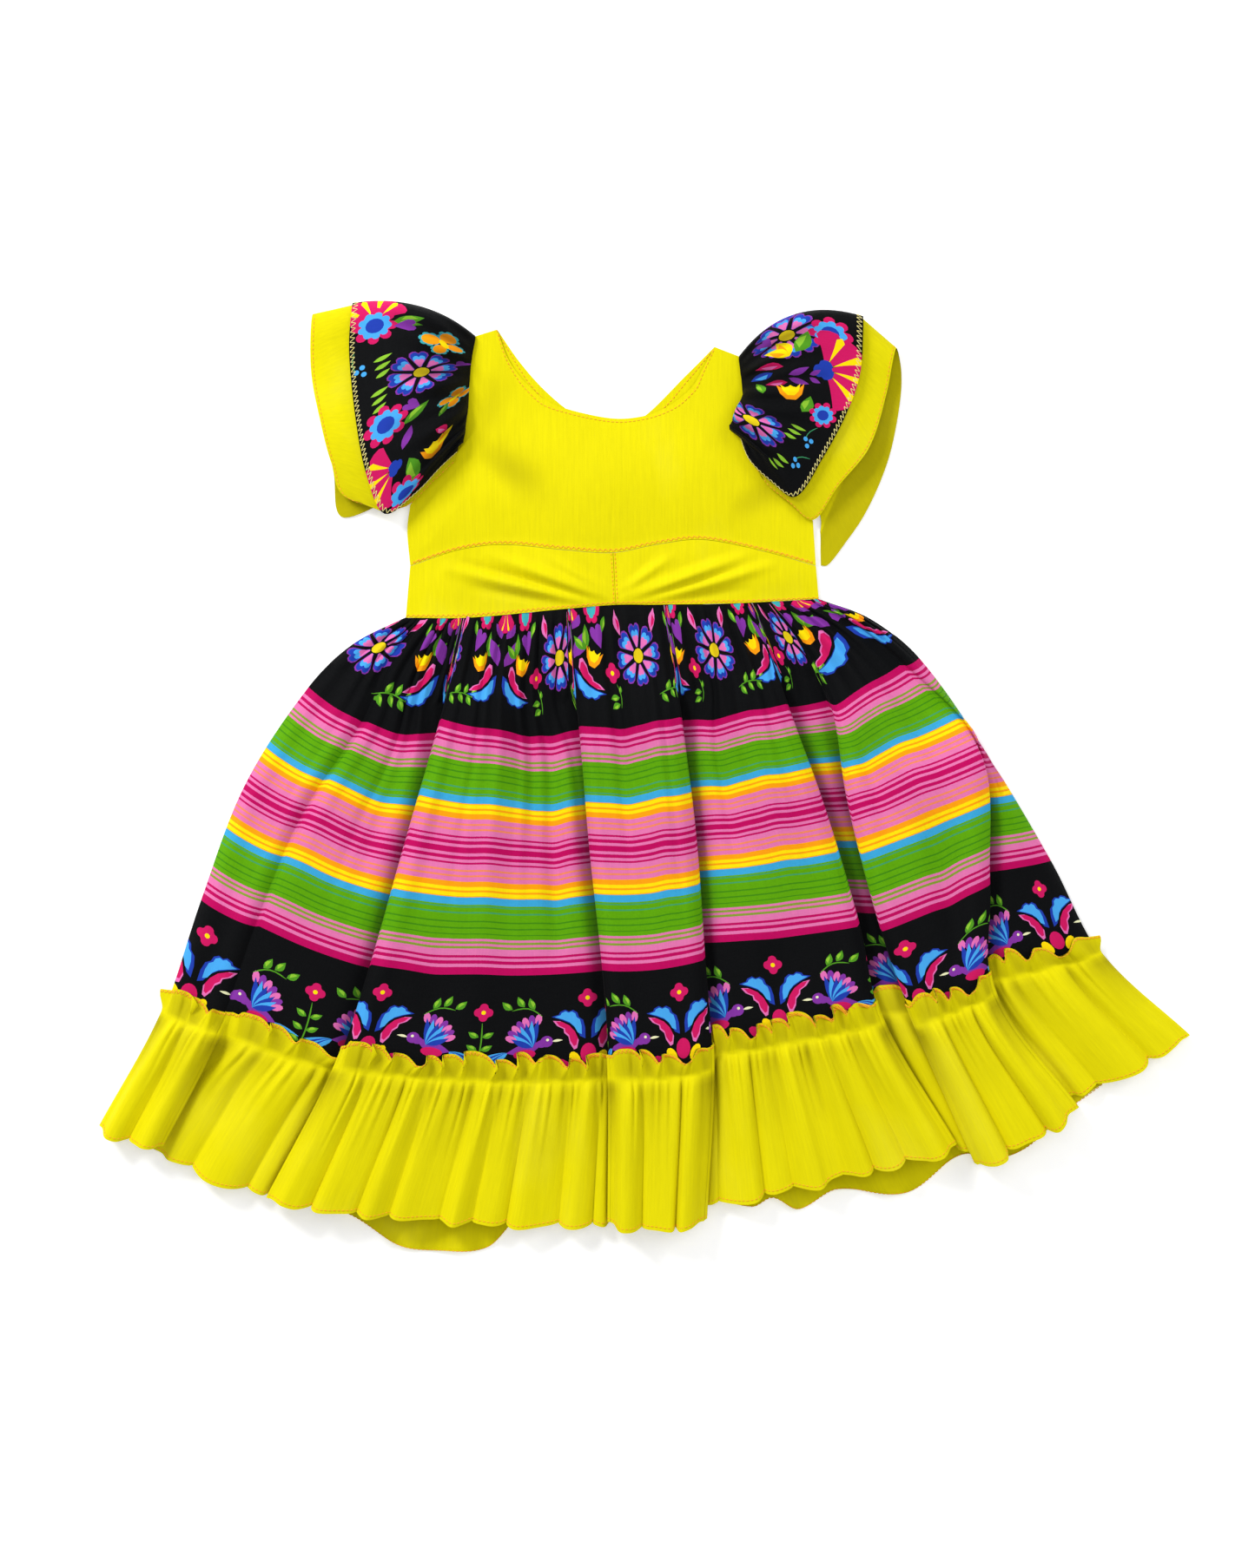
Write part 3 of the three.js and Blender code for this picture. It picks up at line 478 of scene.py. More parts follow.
def ruffle_front():
    stations = np.array([skirt_row(v, lambda stretch: stretch["waves"] * WAVE_COLUMNS) for v in RUFFLE_ROWS])
    skirt = skirt_base(stations)
    down = RUFFLE_ROWS[:, None]
    phase = stations[..., WAVE]
    free = stations[..., FREE]
    tall = stations[..., TALL]
    wave = crest(uneven(phase, 0.7)) * free * tall
    pucker = hill(uneven(PUCKERS * phase, 1.4)) * free
    heading = uneven(CURLS * phase + 0.4, 2.1)
    out = LAYER + 0.1 + wave_depth(down) * wave + pucker_depth(down) * pucker
    out += heading_rise(down) * hill(heading) * free
    points = skirt + normals_of(skirt) * out[..., None]
    points[..., Y] += wave_reach(down) * wave
    points[..., Y] -= heading_dip(down) * hill(heading + 0.2) ** 2 * free
    points[..., Y] += heading_lift(down) * hill(uneven(TALL_CURLS * phase + 0.2, 1.3)) * free
    points[..., X] += heading_sway(down) * np.sin(2 * np.pi * heading) * free
    points[..., X] += wave_lean(down) * stations[..., LEAN] * (wave - MEAN_WAVE) * free
    overhang = HEADING_OVERHANG * ease(GATHER_LINE, HEADING_TOP, RUFFLE_ROWS)
    points[:, 0, X] -= overhang
    points[:, 1, X] -= overhang / 2
    points[:, -1, X] += overhang
    points[:, -2, X] += overhang / 2
    arc = np.cumsum(np.linalg.norm(np.diff(points[-1], axis=0, prepend=points[-1, :1]), axis=1))
    flat = np.stack(np.broadcast_arrays(arc[None, :], -down), axis=2)
    # Painted shade under the gather line between the waves and puckers, and in the heading's curls.
    depth = UNDER_SHADE * under_heading(down) * (1 - np.clip(wave, 0, 1)) * (1 - 0.6 * pucker)
    depth += HEADING_SHADE * above_heading(down) * (1 - hill(heading))
    return points, flat, depth


BACK_COLUMNS = 120
BACK_WAVES = 20
BACK_WAVE_DEPTH = 2
BACK_WAVE_COLUMNS = 14


def back_panel(rows, columns, place):
    """A panel of the back, flat between the side seams."""
    sag = track([0, 83, 250, GATHER_LINE], [0, 38, 38, 40])
    t = np.linspace(0, 1, columns + 1)[None, :]
    v = np.array(rows, float)[:, None]
    x = lerp(right_seam["x"](v), left_seam["x"](v), t)
    y = lerp(right_seam["y"](v), left_seam["y"](v), t) - sag(v) * 4 * t * (1 - t)
    points = np.stack(np.broadcast_arrays(*place(x, y, v, t)), axis=2)
    width = right_seam["x"](RUFFLE_HEM) - left_seam["x"](RUFFLE_HEM)
    return points, np.stack(np.broadcast_arrays(-t * width, -v), axis=2)


def skirt_back():
    rows = np.concatenate([np.linspace(0, 240, 24), np.linspace(250, SKIRT_LENGTH, 20)])

    def place(x, y, v, _):
        return x, np.where(v == 0, y - SEAM_GAP, y), back_height(v)

    return back_panel(rows, BACK_COLUMNS, place)


def ruffle_back():
    hem_line = track(HEM_LINE["x"], HEM_LINE["y"])
    hem_drop = track(BACK_HEM["x"], BACK_HEM["drop"])

    def place(x, y, v, t):
        grown = ease(SKIRT_LENGTH + 4, RUFFLE_HEM, v)
        wave = hill(BACK_WAVES * t) * np.clip(32 * t * (1 - t), 0, 1)
        hang = lerp(y, hem_line(x) - hem_drop(x), ease(GATHER_LINE, RUFFLE_HEM, v))
        return x, hang, TABLE_LAYER + BACK_WAVE_DEPTH * grown * wave

    return back_panel(RUFFLE_ROWS, BACK_WAVES * BACK_WAVE_COLUMNS, place)


seam_curve = track(BODICE_SEAM["x"], BODICE_SEAM["y"])


def across(row, t):
    return lerp(row["x"][0], row["x"][-1], t)


OUTER_PARTS = [
    {"to": 0.2, "at": path(RIGHT_ARMHOLE)},
    {"to": 0.3, "at": path(RIGHT_SIDE)},
    {"to": 0.7, "at": lambda t: (across(BODICE_SEAM, t), seam_curve(across(BODICE_SEAM, t)))},
    {"to": 0.8, "at": path(LEFT_SIDE[::-1])},
    {"to": 1.0, "at": path(LEFT_ARMHOLE[::-1])},
]


def bodice_edge(t):
    k = next(i for i, part in enumerate(OUTER_PARTS) if t <= part["to"] + 1e-9)
    start = OUTER_PARTS[k - 1]["to"] if k else 0
    return OUTER_PARTS[k]["at"]((t - start) / (OUTER_PARTS[k]["to"] - start))


def bodice(neckline, rows, columns, height_of):
    """A bodice panel, spread between its neckline and its outer edge."""
    t = np.linspace(0, 1, columns + 1)
    share = np.linspace(0, 1, rows + 1)[:, None]
    neck_x, neck_y = path(neckline)(t)
    outer = np.array([bodice_edge(each) for each in t])
    x = lerp(neck_x, outer[:, 0], share)
    y = lerp(neck_y, outer[:, 1], share)
    points = np.stack([x, y, height_of(t[None, :], share, x, y)], axis=2)
    return points, points[..., :2].copy()


SEAM_RISES = [0.3, 0.38]  # shares of the outer edge between which the cloth rises on to the waistband
SEAM_FALLS = [0.7, 0.62]
SEAM_TAKES = 1.05  # the puff ends a little above the outer edge


def front_height(t, share, x, y):
    body = np.sin(np.pi * np.minimum(1, share * SEAM_TAKES)) * 4 * t * (1 - t)
    seam = share * ease(*SEAM_RISES, t) * ease(*SEAM_FALLS, t)
    creases = creased(x, y, BODICE_CREASES) * np.sin(np.pi * share)
    return np.maximum(SECOND_LAYER + BODICE_RISE * body + BAND_RISE * seam + creases, SECOND_LAYER)


BAND_ROWS, BAND_COLUMNS = 26, 72
BACK_BAND_ROWS, BACK_BAND_COLUMNS = 8, 60
BODICE_ROWS, BODICE_COLUMNS = 34, 200
BACK_BODICE_ROWS, BACK_BODICE_COLUMNS = 16, 120
FAN_WIDTH = 2.4  # how far the pleats' fan is spread along the band
FAN_START = 0.05


def front_band(side, end):
    """One half of the front waistband: its pleats fan out from the centre seam's lower end."""
    centre = (-1 if side == "right" else 1) * SEAM_GAP / 2
    t = np.linspace(0, 1, BAND_COLUMNS + 1)[None, :]
    share = np.linspace(0, 1, BAND_ROWS + 1)[:, None]
    top = lerp(across(BODICE_SEAM, end), BAND_MEETS["top"] + centre, t)
    bottom = lerp(across(WAIST_SEAM, end), BAND_MEETS["bottom"] + centre, t)
    fan = np.arctan2(1 - share, (1 - t) * FAN_WIDTH + FAN_START) / (np.pi / 2)
    ridge = np.abs(np.sin(np.pi * BAND_PLEATS * fan)) ** 1.3
    pleat = ridge * np.sin(np.pi * t) ** 0.6 * np.sin(np.pi * share)
    y = lerp(seam_curve(top) - SEAM_GAP, waist_curve(bottom), share)
    x = lerp(top, bottom, share)
    drape = creased(x, y, BAND_CREASES) * np.sin(np.pi * share) ** 0.5
    z = np.maximum(SECOND_LAYER + BAND_RISE * ease(0, 0.25, t) + PLEAT_RISE / 2 * pleat + drape, SECOND_LAYER)
    points = np.stack(np.broadcast_arrays(x, y, z), axis=2)
    if side == "left":
        points = points[:, ::-1]
    return points, points[..., :2].copy()


def back_band():
    t = np.linspace(0, 1, BACK_BAND_COLUMNS + 1)[None, :]
    share = np.linspace(0, 1, BACK_BAND_ROWS + 1)[:, None]
    top = across(BODICE_SEAM, t)
    bottom = across(WAIST_SEAM, t)
    y = lerp(seam_curve(top) - SEAM_GAP, lerp(right_seam["y"](0), left_seam["y"](0), t), share)
    points = np.stack(np.broadcast_arrays(lerp(top, bottom, share), y, TABLE_LAYER), axis=2)
    return points, points[..., :2].copy()


SWEEP_HALF = 54
SWEEP_ROLL = 14
# Tracks down a sleeve, from the armhole seam (0) over the print's hem (1) to the lower layer's hem (2).
sleeve_swell = track([0, 0.1, 0.25, 0.5, 1, 2], [0, 0.4, 0.85, 1, 0.66, 0.4])
sleeve_flutter = track([0, 0.5, 1, 2], [0, 0.2, 1.4, 1.8])
sleeve_gather = track([0, 0.1, 0.45, 0.8], [0, 1, 0.8, 0])
over_seam = track([0, 0.06, 0.14, 0.3, 0.55], [0, 0.7, 1, 0.6, 0])
UNDERARM_FLATTER = 0.6  # share of the puff that goes towards the underarm
FINE_GATHER = 0.8  # the finer gathers beside the wide ones
FINE_GATHERS = 61
FINE_SLANT = 9
# Painted shade in the gathers' troughs and on the lower layer past the print's hem.
TROUGH_SHADE = 0.55
UNDER_FRONT_SHADE = 0.5  # on the lower layer at the front underarm
UNDER_BACK_SHADE = 0.55
PRINT_STRETCH = 6  # how much longer the print is than its hem's line


def sweep():
    """Stations from the front underarm (level 1) over the shoulder fold to the back underarm (level 0)."""
    out = np.linspace(1, FOLD_ROLL, SWEEP_HALF, endpoint=False)
    angle = np.pi / 2 * np.linspace(1, -1, SWEEP_ROLL + 1)
    share = np.concatenate([out, FOLD_ROLL * (1 - np.cos(angle)), out[::-1]])
    level = np.concatenate([np.ones(SWEEP_HALF), (1 + np.sin(angle)) / 2, np.zeros(SWEEP_HALF)])
    return share, level


def sleeve_grid(sleeve, rows, tucked=0.0):
    """A sleeve's surface on the print's side, row by row from the armhole seam out, its flat coordinates
    and its painted shade. A tucked layer puffs up that much less and doesn't bulge over the seam.
    """
    share, level = sweep()

    def line(name):
        back, front = [
            np.stack([track(SHARES, places)(share) for places in sleeve[half][name]])
            for half in ("back", "front")
        ]
        return lerp(back, front, level)

    seam, hem, under = line("seam"), line("print"), line("under")
    middle = ease(0.3, 0.68, share) * (1 - 0.4 * ease(0.8, 1, share)) * level
    along = hem - seam
    along = along / np.linalg.norm(along, axis=0)
    facing = np.where(along[0] < 0, 1, -1)
    outward = np.stack([along[1], -along[0]]) * facing
    bulge = 0 if tucked else sleeve["overhang"]
    grid, shaded = [], []
    for out in rows:
        place = lerp(seam, hem, out) if out <= 1 else lerp(hem, under, out - 1)
        bow = 4 * min(out, 1) * (1 - min(out, 1))
        fold, underarm = sleeve["bulge"]
        place = place + outward * fold * bow * (1 - ease(0, 0.5, share))
        place = place + outward * underarm * bow * ease(0.5, 1, share) * (1 - level)
        place = place + np.stack([facing * bulge * over_seam(out) * middle, 0 * share])
        body = (sleeve["puff"] - tucked) * sleeve_swell(out) * (1 - UNDERARM_FLATTER * ease(0.5, 1, share))
        fine = FINE_GATHER * np.sin(FINE_GATHERS * share + FINE_SLANT * out)
        pleats = np.cos(2 * np.pi * SLEEVE_WAVES * share) + fine
        gathers = SLEEVE_GATHER * sleeve_gather(out) * pleats
        # Painted shade in the gathers' troughs and on the lower layer below the print's hem.
        trough = TROUGH_SHADE * sleeve_gather(out) * np.clip(0.4 - 0.5 * pleats, 0, 1)
        below = UNDER_FRONT_SHADE * ease(0.5, 1, share) * level + UNDER_BACK_SHADE * (1 - level)
        shaded.append(trough + ease(1, 1.1, out) * below)
        folds_out = sleeve_flutter(out) * np.cos(4 * np.pi * share + 0.7)
        low = TABLE_LAYER - (LAYER - SLACK) * ease(1, 1.5, out)
        high = TABLE_LAYER + 3 * LAYER + body + gathers + folds_out
        grid.append(np.stack([place[0], place[1], lerp(low, high, level)], axis=1))
    points, depth = np.array(grid), np.array(shaded)
    hem_points = np.stack([hem[0], hem[1]], axis=1)
    arc = np.cumsum(np.linalg.norm(np.diff(hem_points, axis=0, prepend=hem_points[:1]), axis=1))
    arc = arc + np.linspace(0, PRINT_STRETCH, len(arc))
    if sleeve["name"] == "right":
        points, depth = points[:, ::-1], depth[:, ::-1]
        arc = arc[-1] - arc[::-1]
    flat = np.stack(np.broadcast_arrays(arc[None, :], -SLEEVE_DEPTH * np.array(rows)[:, None]), axis=2)
    return points, flat, depth


def to_linear(rgb):
    c = np.array(rgb, float) / 255
    return tuple(np.where(c <= 0.04045, c / 12.92, ((c + 0.055) / 1.055) ** 2.4))


# Of the cloth's yellows, the darkest is painted shade and the palest a painted highlight; the other colours
# are the print's and the cloth's own.
PALETTE = {
    name: to_linear(rgb)
    for name, rgb in {
        "black": (3, 4, 6), "magenta": (184, 0, 90), "pink": (222, 112, 172), "green": (88, 158, 0),
        "dark_green": (60, 130, 10), "olive": (128, 150, 50), "teal": (60, 150, 100), "blue": (55, 160, 215),
        "yellow": (252, 220, 0), "orange": (250, 155, 10), "rust": (235, 130, 90), "purple": (130, 50, 160),
        "navy": (30, 60, 170), "sky": (70, 165, 235), "rose": (225, 110, 180), "crimson": (205, 20, 95),
        "leaf": (80, 150, 30), "lime": (140, 195, 50), "cream": (235, 235, 190), "gold": (225, 200, 20),
        "aqua": (60, 170, 180), "stitch": (238, 180, 0), "cloth_yellow": (232, 221, 0),
        "cloth_shade": (208, 196, 0), "cloth_deep": (150, 138, 0), "cloth_pale": (255, 246, 90),
    }.items()
}


def paint(name):
    """A colour of the palette as a shader takes it, opaque."""
    return (*PALETTE[name], 1)


def turned(shapes, at=(0, 0), turn=0.0, size=1.0, flip=1):
    """Shapes mirrored, turned anticlockwise, scaled and moved."""
    cos, sin = math.cos(math.radians(turn)), math.sin(math.radians(turn))
    matrix = size * np.array([[cos, sin], [-sin, cos]])
    return [(colour, (outline * (flip, 1)) @ matrix + at) for colour, outline in shapes]


def oval(colour, a, b, points=12, at=(0, 0)):
    angle = 2 * np.pi * np.arange(points) / points
    return [(colour, np.stack([a * np.cos(angle) + at[0], b * np.sin(angle) + at[1]], axis=1))]


def lobed(colour, radius, lobes, depth, points=48):
    """A round flower's edge with bulging lobes."""
    angle = 2 * np.pi * np.arange(points) / points
    r = radius * (1 - depth + depth * np.abs(np.cos(lobes * angle / 2)) ** 0.6)
    return [(colour, np.stack([r * np.cos(angle), r * np.sin(angle)], axis=1))]


def leaf(length, width, colour="leaf", light="lime", steps=5):
    """A pointed leaf from the origin up, its left half lighter."""
    t = np.linspace(0, 1, steps + 1)
    side = width / 2 * np.sin(np.pi * t ** 0.85)
    bow = 0.12 * width * np.sin(np.pi * t)
    right = np.stack([bow + side, length * t], axis=1)
    left = np.stack([bow - side, length * t], axis=1)[::-1]
    mid = np.stack([bow, length * t], axis=1)
    whole = np.concatenate([right, left[1:-1]])
    if light is None:
        return [(colour, whole)]
    half = np.concatenate([mid[1:-1], left[2:-2] * (0.86, 1)])
    return [(colour, whole), (light, half)]


def stroke(colour, points, width):
    """A thin line with pointed ends."""
    line = np.array(points, float)
    along = np.gradient(line, axis=0)
    side = np.stack([-along[:, 1], along[:, 0]], axis=1) / np.linalg.norm(along, axis=1, keepdims=True)
    taper = np.full((len(line), 1), width / 2)
    taper[[0, -1]] = width / 6
    return [(colour, np.concatenate([line + side * taper, (line - side * taper)[::-1]]))]


def arc_line(x0, y0, x1, y1, bow, points=6):
    """Points of a bowed line."""
    t = np.linspace(0, 1, points)
    start, end = np.array([x0, y0], float), np.array([x1, y1], float)
    side = np.array([-(end - start)[1], (end - start)[0]]) / np.linalg.norm(end - start)
    return start + (end - start) * t[:, None] + side * (bow * np.sin(np.pi * t))[:, None]


HEART = [[0, -1], [0.5, -0.35], [0.86, 0.2], [0.84, 0.66], [0.5, 0.86], [0.18, 0.76], [0, 0.5]]
PETAL_FOOT = 0.27
PETAL = [[0.04, PETAL_FOOT], [0.12, 0.45], [0.2, 0.62], [0.27, 0.77], [0.26, 0.9], [0.17, 0.98], [0.08, 0.98],
         [0, 0.9]]
PETAL_TONES = [("purple", 1.0, 1.0), ("navy", 0.86, 0.94), ("sky", 0.64, 0.72), ("rose", 0.5, 0.5)]


def mirrored(points):
    """The right half of an outline and its mirror image, without a second copy of the points on the axis."""
    right = np.array(points, float)
    left = (right * (-1, 1))[::-1]
    return np.concatenate([right, left[left[:, 0] != 0]])


def heart(colour, size):
    return [(colour, mirrored(HEART) * size * (0.8, 1))]


def daisy(radius):
    """Eight lobed petals in four tones round a yellow middle."""
    shapes = []
    petal = mirrored(PETAL)
    foot = np.array([0, PETAL_FOOT])
    for k in range(8):
        for colour, wide, long in PETAL_TONES:
            outline = ((petal - foot) * (wide, long) + foot) * radius
            shapes += turned([(colour, outline)], turn=45 * k + 5)
    return shapes + oval("gold", radius * 0.23, radius * 0.23)


def small_flower(radius):
    return lobed("crimson", radius, 4, 0.45, 28) + oval("yellow", radius * 0.24, radius * 0.24, 8)


def round_flower(radius):
    ring = lobed("crimson", radius, 8, 0.34) + lobed("sky", radius * 0.74, 9, 0.26)
    return ring + oval("navy", radius * 0.4, radius * 0.4, 14)


def branch(length, leaves, bow=3.0):
    """A bowed stem with leaves on both sides."""
    stem = arc_line(0, 0, length, 0, bow, 7)
    shapes = stroke("leaf", stem, 0.9)
    for k in range(leaves):
        share = (k + 0.7) / leaves
        at = (length * share, bow * math.sin(math.pi * share))
        shapes += turned(leaf(9.5, 5.2), at=at, turn=(-28 if k % 2 else -152))
    return shapes


GARLAND_LEAVES = table("share turn", [(0.3, -36), (0.64, -46), (1.0, -66)])


def garland(length, bow):
    """A bowed stem with three leaves above it."""
    shapes = stroke("leaf", arc_line(0, 0, length, 0, bow, 7), 0.9)
    for row in GARLAND_LEAVES:
        at = (length * row["share"], bow * math.sin(math.pi * row["share"]) + 1)
        shapes += turned(leaf(9.5, 5), at=at, turn=row["turn"])
    return shapes


PLUME = [[0.5, -8], [0.6, 0], [2, 6], [5, 8.5], [6, 12], [9, 14], [12, 13], [14.5, 14.5], [18, 13], [19, 11],
         [24, 9.5], [17, 7], [11, 4], [7, 0], [4, -6]]
CRESCENT = [[6, -15], [5, -9], [7.5, -3], [12, 2.5], [18, 6], [23, 6.5], [20, 2.5], [15.5, 0], [15, -3],
            [12, -6], [11, -11], [8, -16]]


def inside(outline, share, shift=(0, 0)):
    """An outline drawn in towards its own middle."""
    middle = outline.mean(axis=0)
    return (outline - middle) * share + middle + shift


CUP = [[-9, 7], [-5, 3], [-2, 4], [0, 6], [2, 4], [5, 3], [9, 7], [7, -1], [3, -6], [-3, -6], [-7, -1]]


def cup():
    outline = np.array(CUP, float)
    return [("orange", outline), ("yellow", inside(outline, 0.72, (0, 1.6)))]


def tulip(gap, wide=1.0):
    """Two blue plumes over two magenta crescents, the same on both sides."""
    plume, crescent = np.array(PLUME, float) * (wide, 1), np.array(CRESCENT, float) * (wide, 1)
    half = [("navy", plume), ("sky", inside(plume, 0.8, (0.6, 0.4)))]
    half += [("rose", crescent), ("crimson", inside(crescent, 0.86, (-0.5, 0.9)))]
    half = turned(half, at=(gap, 0))
    return half + turned(half, flip=-1)


SPRAY_LEAVES = table("x y turn length width", [
    (2, 0, -20, 21, 7), (-2, 0, 20, 21, 7), (1.5, 20, -26, 12, 5), (-1.5, 20, 26, 12, 5),
])


def spray(wide=1.0):
    """Two pairs of purple leaves, one over the other, that open upwards."""
    shapes = []
    for row in SPRAY_LEAVES:
        one = leaf(row["length"], row["width"], "purple", None)
        shapes += turned(one, turn=row["turn"], at=(row["x"], row["y"]))
    return [(colour, outline * (wide, 1)) for colour, outline in shapes]


def swallow():
    """A small bird that faces left, with a raised wing and a long tail."""
    shapes = []
    for k in range(5):
        feather = leaf(19 - k, 3.4, "navy" if k % 2 else "sky", None)
        shapes += turned(feather, at=(12, -3.5), turn=-104 - 7 * k)
    body = np.concatenate([arc_line(-12, 4.4, 13, -4, 3.4, 8), arc_line(13, -4, -12, 4.4, 5.4, 8)[1:-1]])
    shapes += [("purple", body)]
    shapes += turned(oval("crimson", 7.6, 3.7, 14), at=(0.5, -4.8), turn=-6)
    feathers = 7
    for k in range(feathers):
        turn = 8 - 12.5 * k
        length = 22 - 0.9 * k
        tip = "purple" if k % 2 else "rose"
        shapes += turned(oval(tip, 2.5, 4.4, 10, at=(0, length)), at=(-4.5, 0.5), turn=turn)
        shapes += turned(leaf(length, 4.6, "sky" if k % 2 else "navy", None), at=(-4.5, 0.5), turn=turn)
    shapes += oval("purple", 4.4, 4.4, 14, at=(-14, 5))
    shapes += oval("purple", 3.6, 3.0, 10, at=(-10.5, 3.2))
    shapes += turned(leaf(7.5, 2.0, "cream", None), at=(-17.8, 5), turn=84)
    return shapes + oval("cream", 1.1, 1.1, 8, at=(-14.6, 6.2))


def rays(radius, tongues, spread):
    """A fan of broad magenta tongues with slim yellow ones between them, that opens upwards."""
    shapes = []
    step = math.radians(spread / tongues)
    wide = math.sin(step / 2)
    tongue = np.array([[0, 0.06], [wide * 0.52, 0.55], [wide * 0.86, 0.86], [wide * 0.6, 0.97], [0, 1.0],
                       [-wide * 0.6, 0.97], [-wide * 0.86, 0.86], [-wide * 0.52, 0.55]]) * radius
    for k in range(tongues):
        shapes += turned([("crimson", tongue)], turn=spread * ((k + 0.5) / tongues - 0.5))
    drop = np.array([[0, 0.2], [0.05, 0.6], [0.085, 0.84], [0, 0.94], [-0.085, 0.84], [-0.05, 0.6]]) * radius
    for k in range(1, tongues):
        shapes += turned([("yellow", drop)], turn=spread * (k / tongues - 0.5))
    return shapes + turned(lobed("navy", radius * 0.24, 3, 0.3, 18), turn=30)


def butterfly(size):
    """Four orange wings with a scalloped edge."""
    shapes = []
    for turn, length in [(42, 1.0), (-42, 1.0), (132, 0.8), (-132, 0.8)]:
        wing = turned(lobed("aqua", 0.42 * length, 7, 0.2, 28), at=(0, 0.55 * length))
        wing += turned(oval("orange", 0.3 * length, 0.36 * length, 12), at=(0, 0.5 * length))
        shapes += turned(wing, turn=turn, size=size)
    return shapes + turned(oval("yellow", 0.13, 0.3, 10), size=size)


def dashes():
    shapes = []
    for k in range(3):
        shapes += turned(leaf(12.5 - k, 3.2, "lime", None), at=(0, -6.2 * k), turn=-72 + 4 * k)
    return shapes


def berries():
    shapes = stroke("teal", arc_line(0, -2, 4, 13, 2, 6), 0.6)
    for at in [(0, 0), (4.4, 1), (3.4, -4)]:
        shapes += oval("sky", 1.8, 1.8, 10, at=at)
    return shapes


def pair_of_leaves():
    return turned(leaf(13, 6), turn=-22) + turned(leaf(11, 4.8), turn=34, flip=-1)


# The skirt's border prints repeat along the cloth. A tile's axis is u = 0, and v is measured down from the
# waist seam.
TILE = 147
HALF_TILE = TILE / 2
FIRST_TILE, LAST_TILE = -1, 7  # the tiles that cover the skirt's cloth


def twins(columns, rows):
    """Motifs on both sides of the tile's axis. Each second one is turned the other way, and mirrored where
    flip is -1.
    """
    both = []
    for row in table(columns, rows):
        both.append({**row, "flip": 1})
        both.append({**row, "u": -row["u"], "turn": -row.get("turn", 0)})
    return both


TOP_TILE = table("motif u v turn", [
    (daisy(23), 0, 31),
    (branch(28, 6), 17, 63, 4),
    (small_flower(7.5), -29, 42),
    (stroke("leaf", arc_line(0, 0, 2, -18, 2), 0.8), -26, 50),
    (leaf(9, 5), -25, 60, 100),
    (leaf(9, 5), -25, 65, 115),
    (leaf(6, 3.2), -24, 57, -12),
]) + twins("motif u v turn flip", [
    (heart("purple", 9), -42, 17, 20),
    (turned(pair_of_leaves(), size=1.35), -56, 27, 20, -1),
    (cup(), -48, 33, -18),
]) + table("motif u v turn", [
    (spray(1.9), HALF_TILE, 34),
    (tulip(3, 1.35), HALF_TILE, 49, 180),
    (rays(13, 3, 130), HALF_TILE, -3, 180),
]) + twins("motif u v turn", [
    (lobed("crimson", 9, 6, 0.3), 47, 0),
    (lobed("aqua", 5, 4, 0.3, 24), 47, 0),
    (leaf(16, 7, "rose", "crimson"), 22, 1, 160),
    (leaf(12, 5), 33, 3, 200),
])
LOW_TILE = table("motif u v", [
    (small_flower(6.8), 0, 268.5),
    (tulip(1.5), 0, 291),
    (oval("crimson", 5.2, 7.5, 16), 0, 310),
]) + twins("motif u v turn flip", [
    (oval("yellow", 3.4, 6, 12), 8.6, 314, -26),
    (oval("crimson", 3.8, 8, 12), 15.5, 319, -52),
    (turned(swallow(), size=0.98), 42, 305, 0, -1),
    (garland(22, 4), 32, 281, 12, -1),
]) + table("motif u v", [
    (small_flower(6.8), HALF_TILE, 278),
    (stroke("leaf", arc_line(0, 0, 0, -36, 1), 1.0), HALF_TILE, 286),
]) + table("motif u v turn flip", [
    (leaf(8.5, 4.4), HALF_TILE + 1.2 * side, v, -62 * side, side) for v in (297, 307, 316) for side in (-1, 1)
])


def laid_out(rows):
    """The shapes of a table of motifs."""
    shapes = []
    for row in rows:
        at = (row["u"], -row["v"])
        shapes += turned(row["motif"], at=at, turn=row.get("turn", 0), flip=row.get("flip", 1))
    return shapes


def skirt_shapes():
    shapes = []
    for tile in (TOP_TILE, LOW_TILE):
        one = laid_out(tile)
        for k in range(FIRST_TILE, LAST_TILE + 1):
            shapes += [(colour, outline + (k * TILE, 0)) for colour, outline in one]
    return shapes


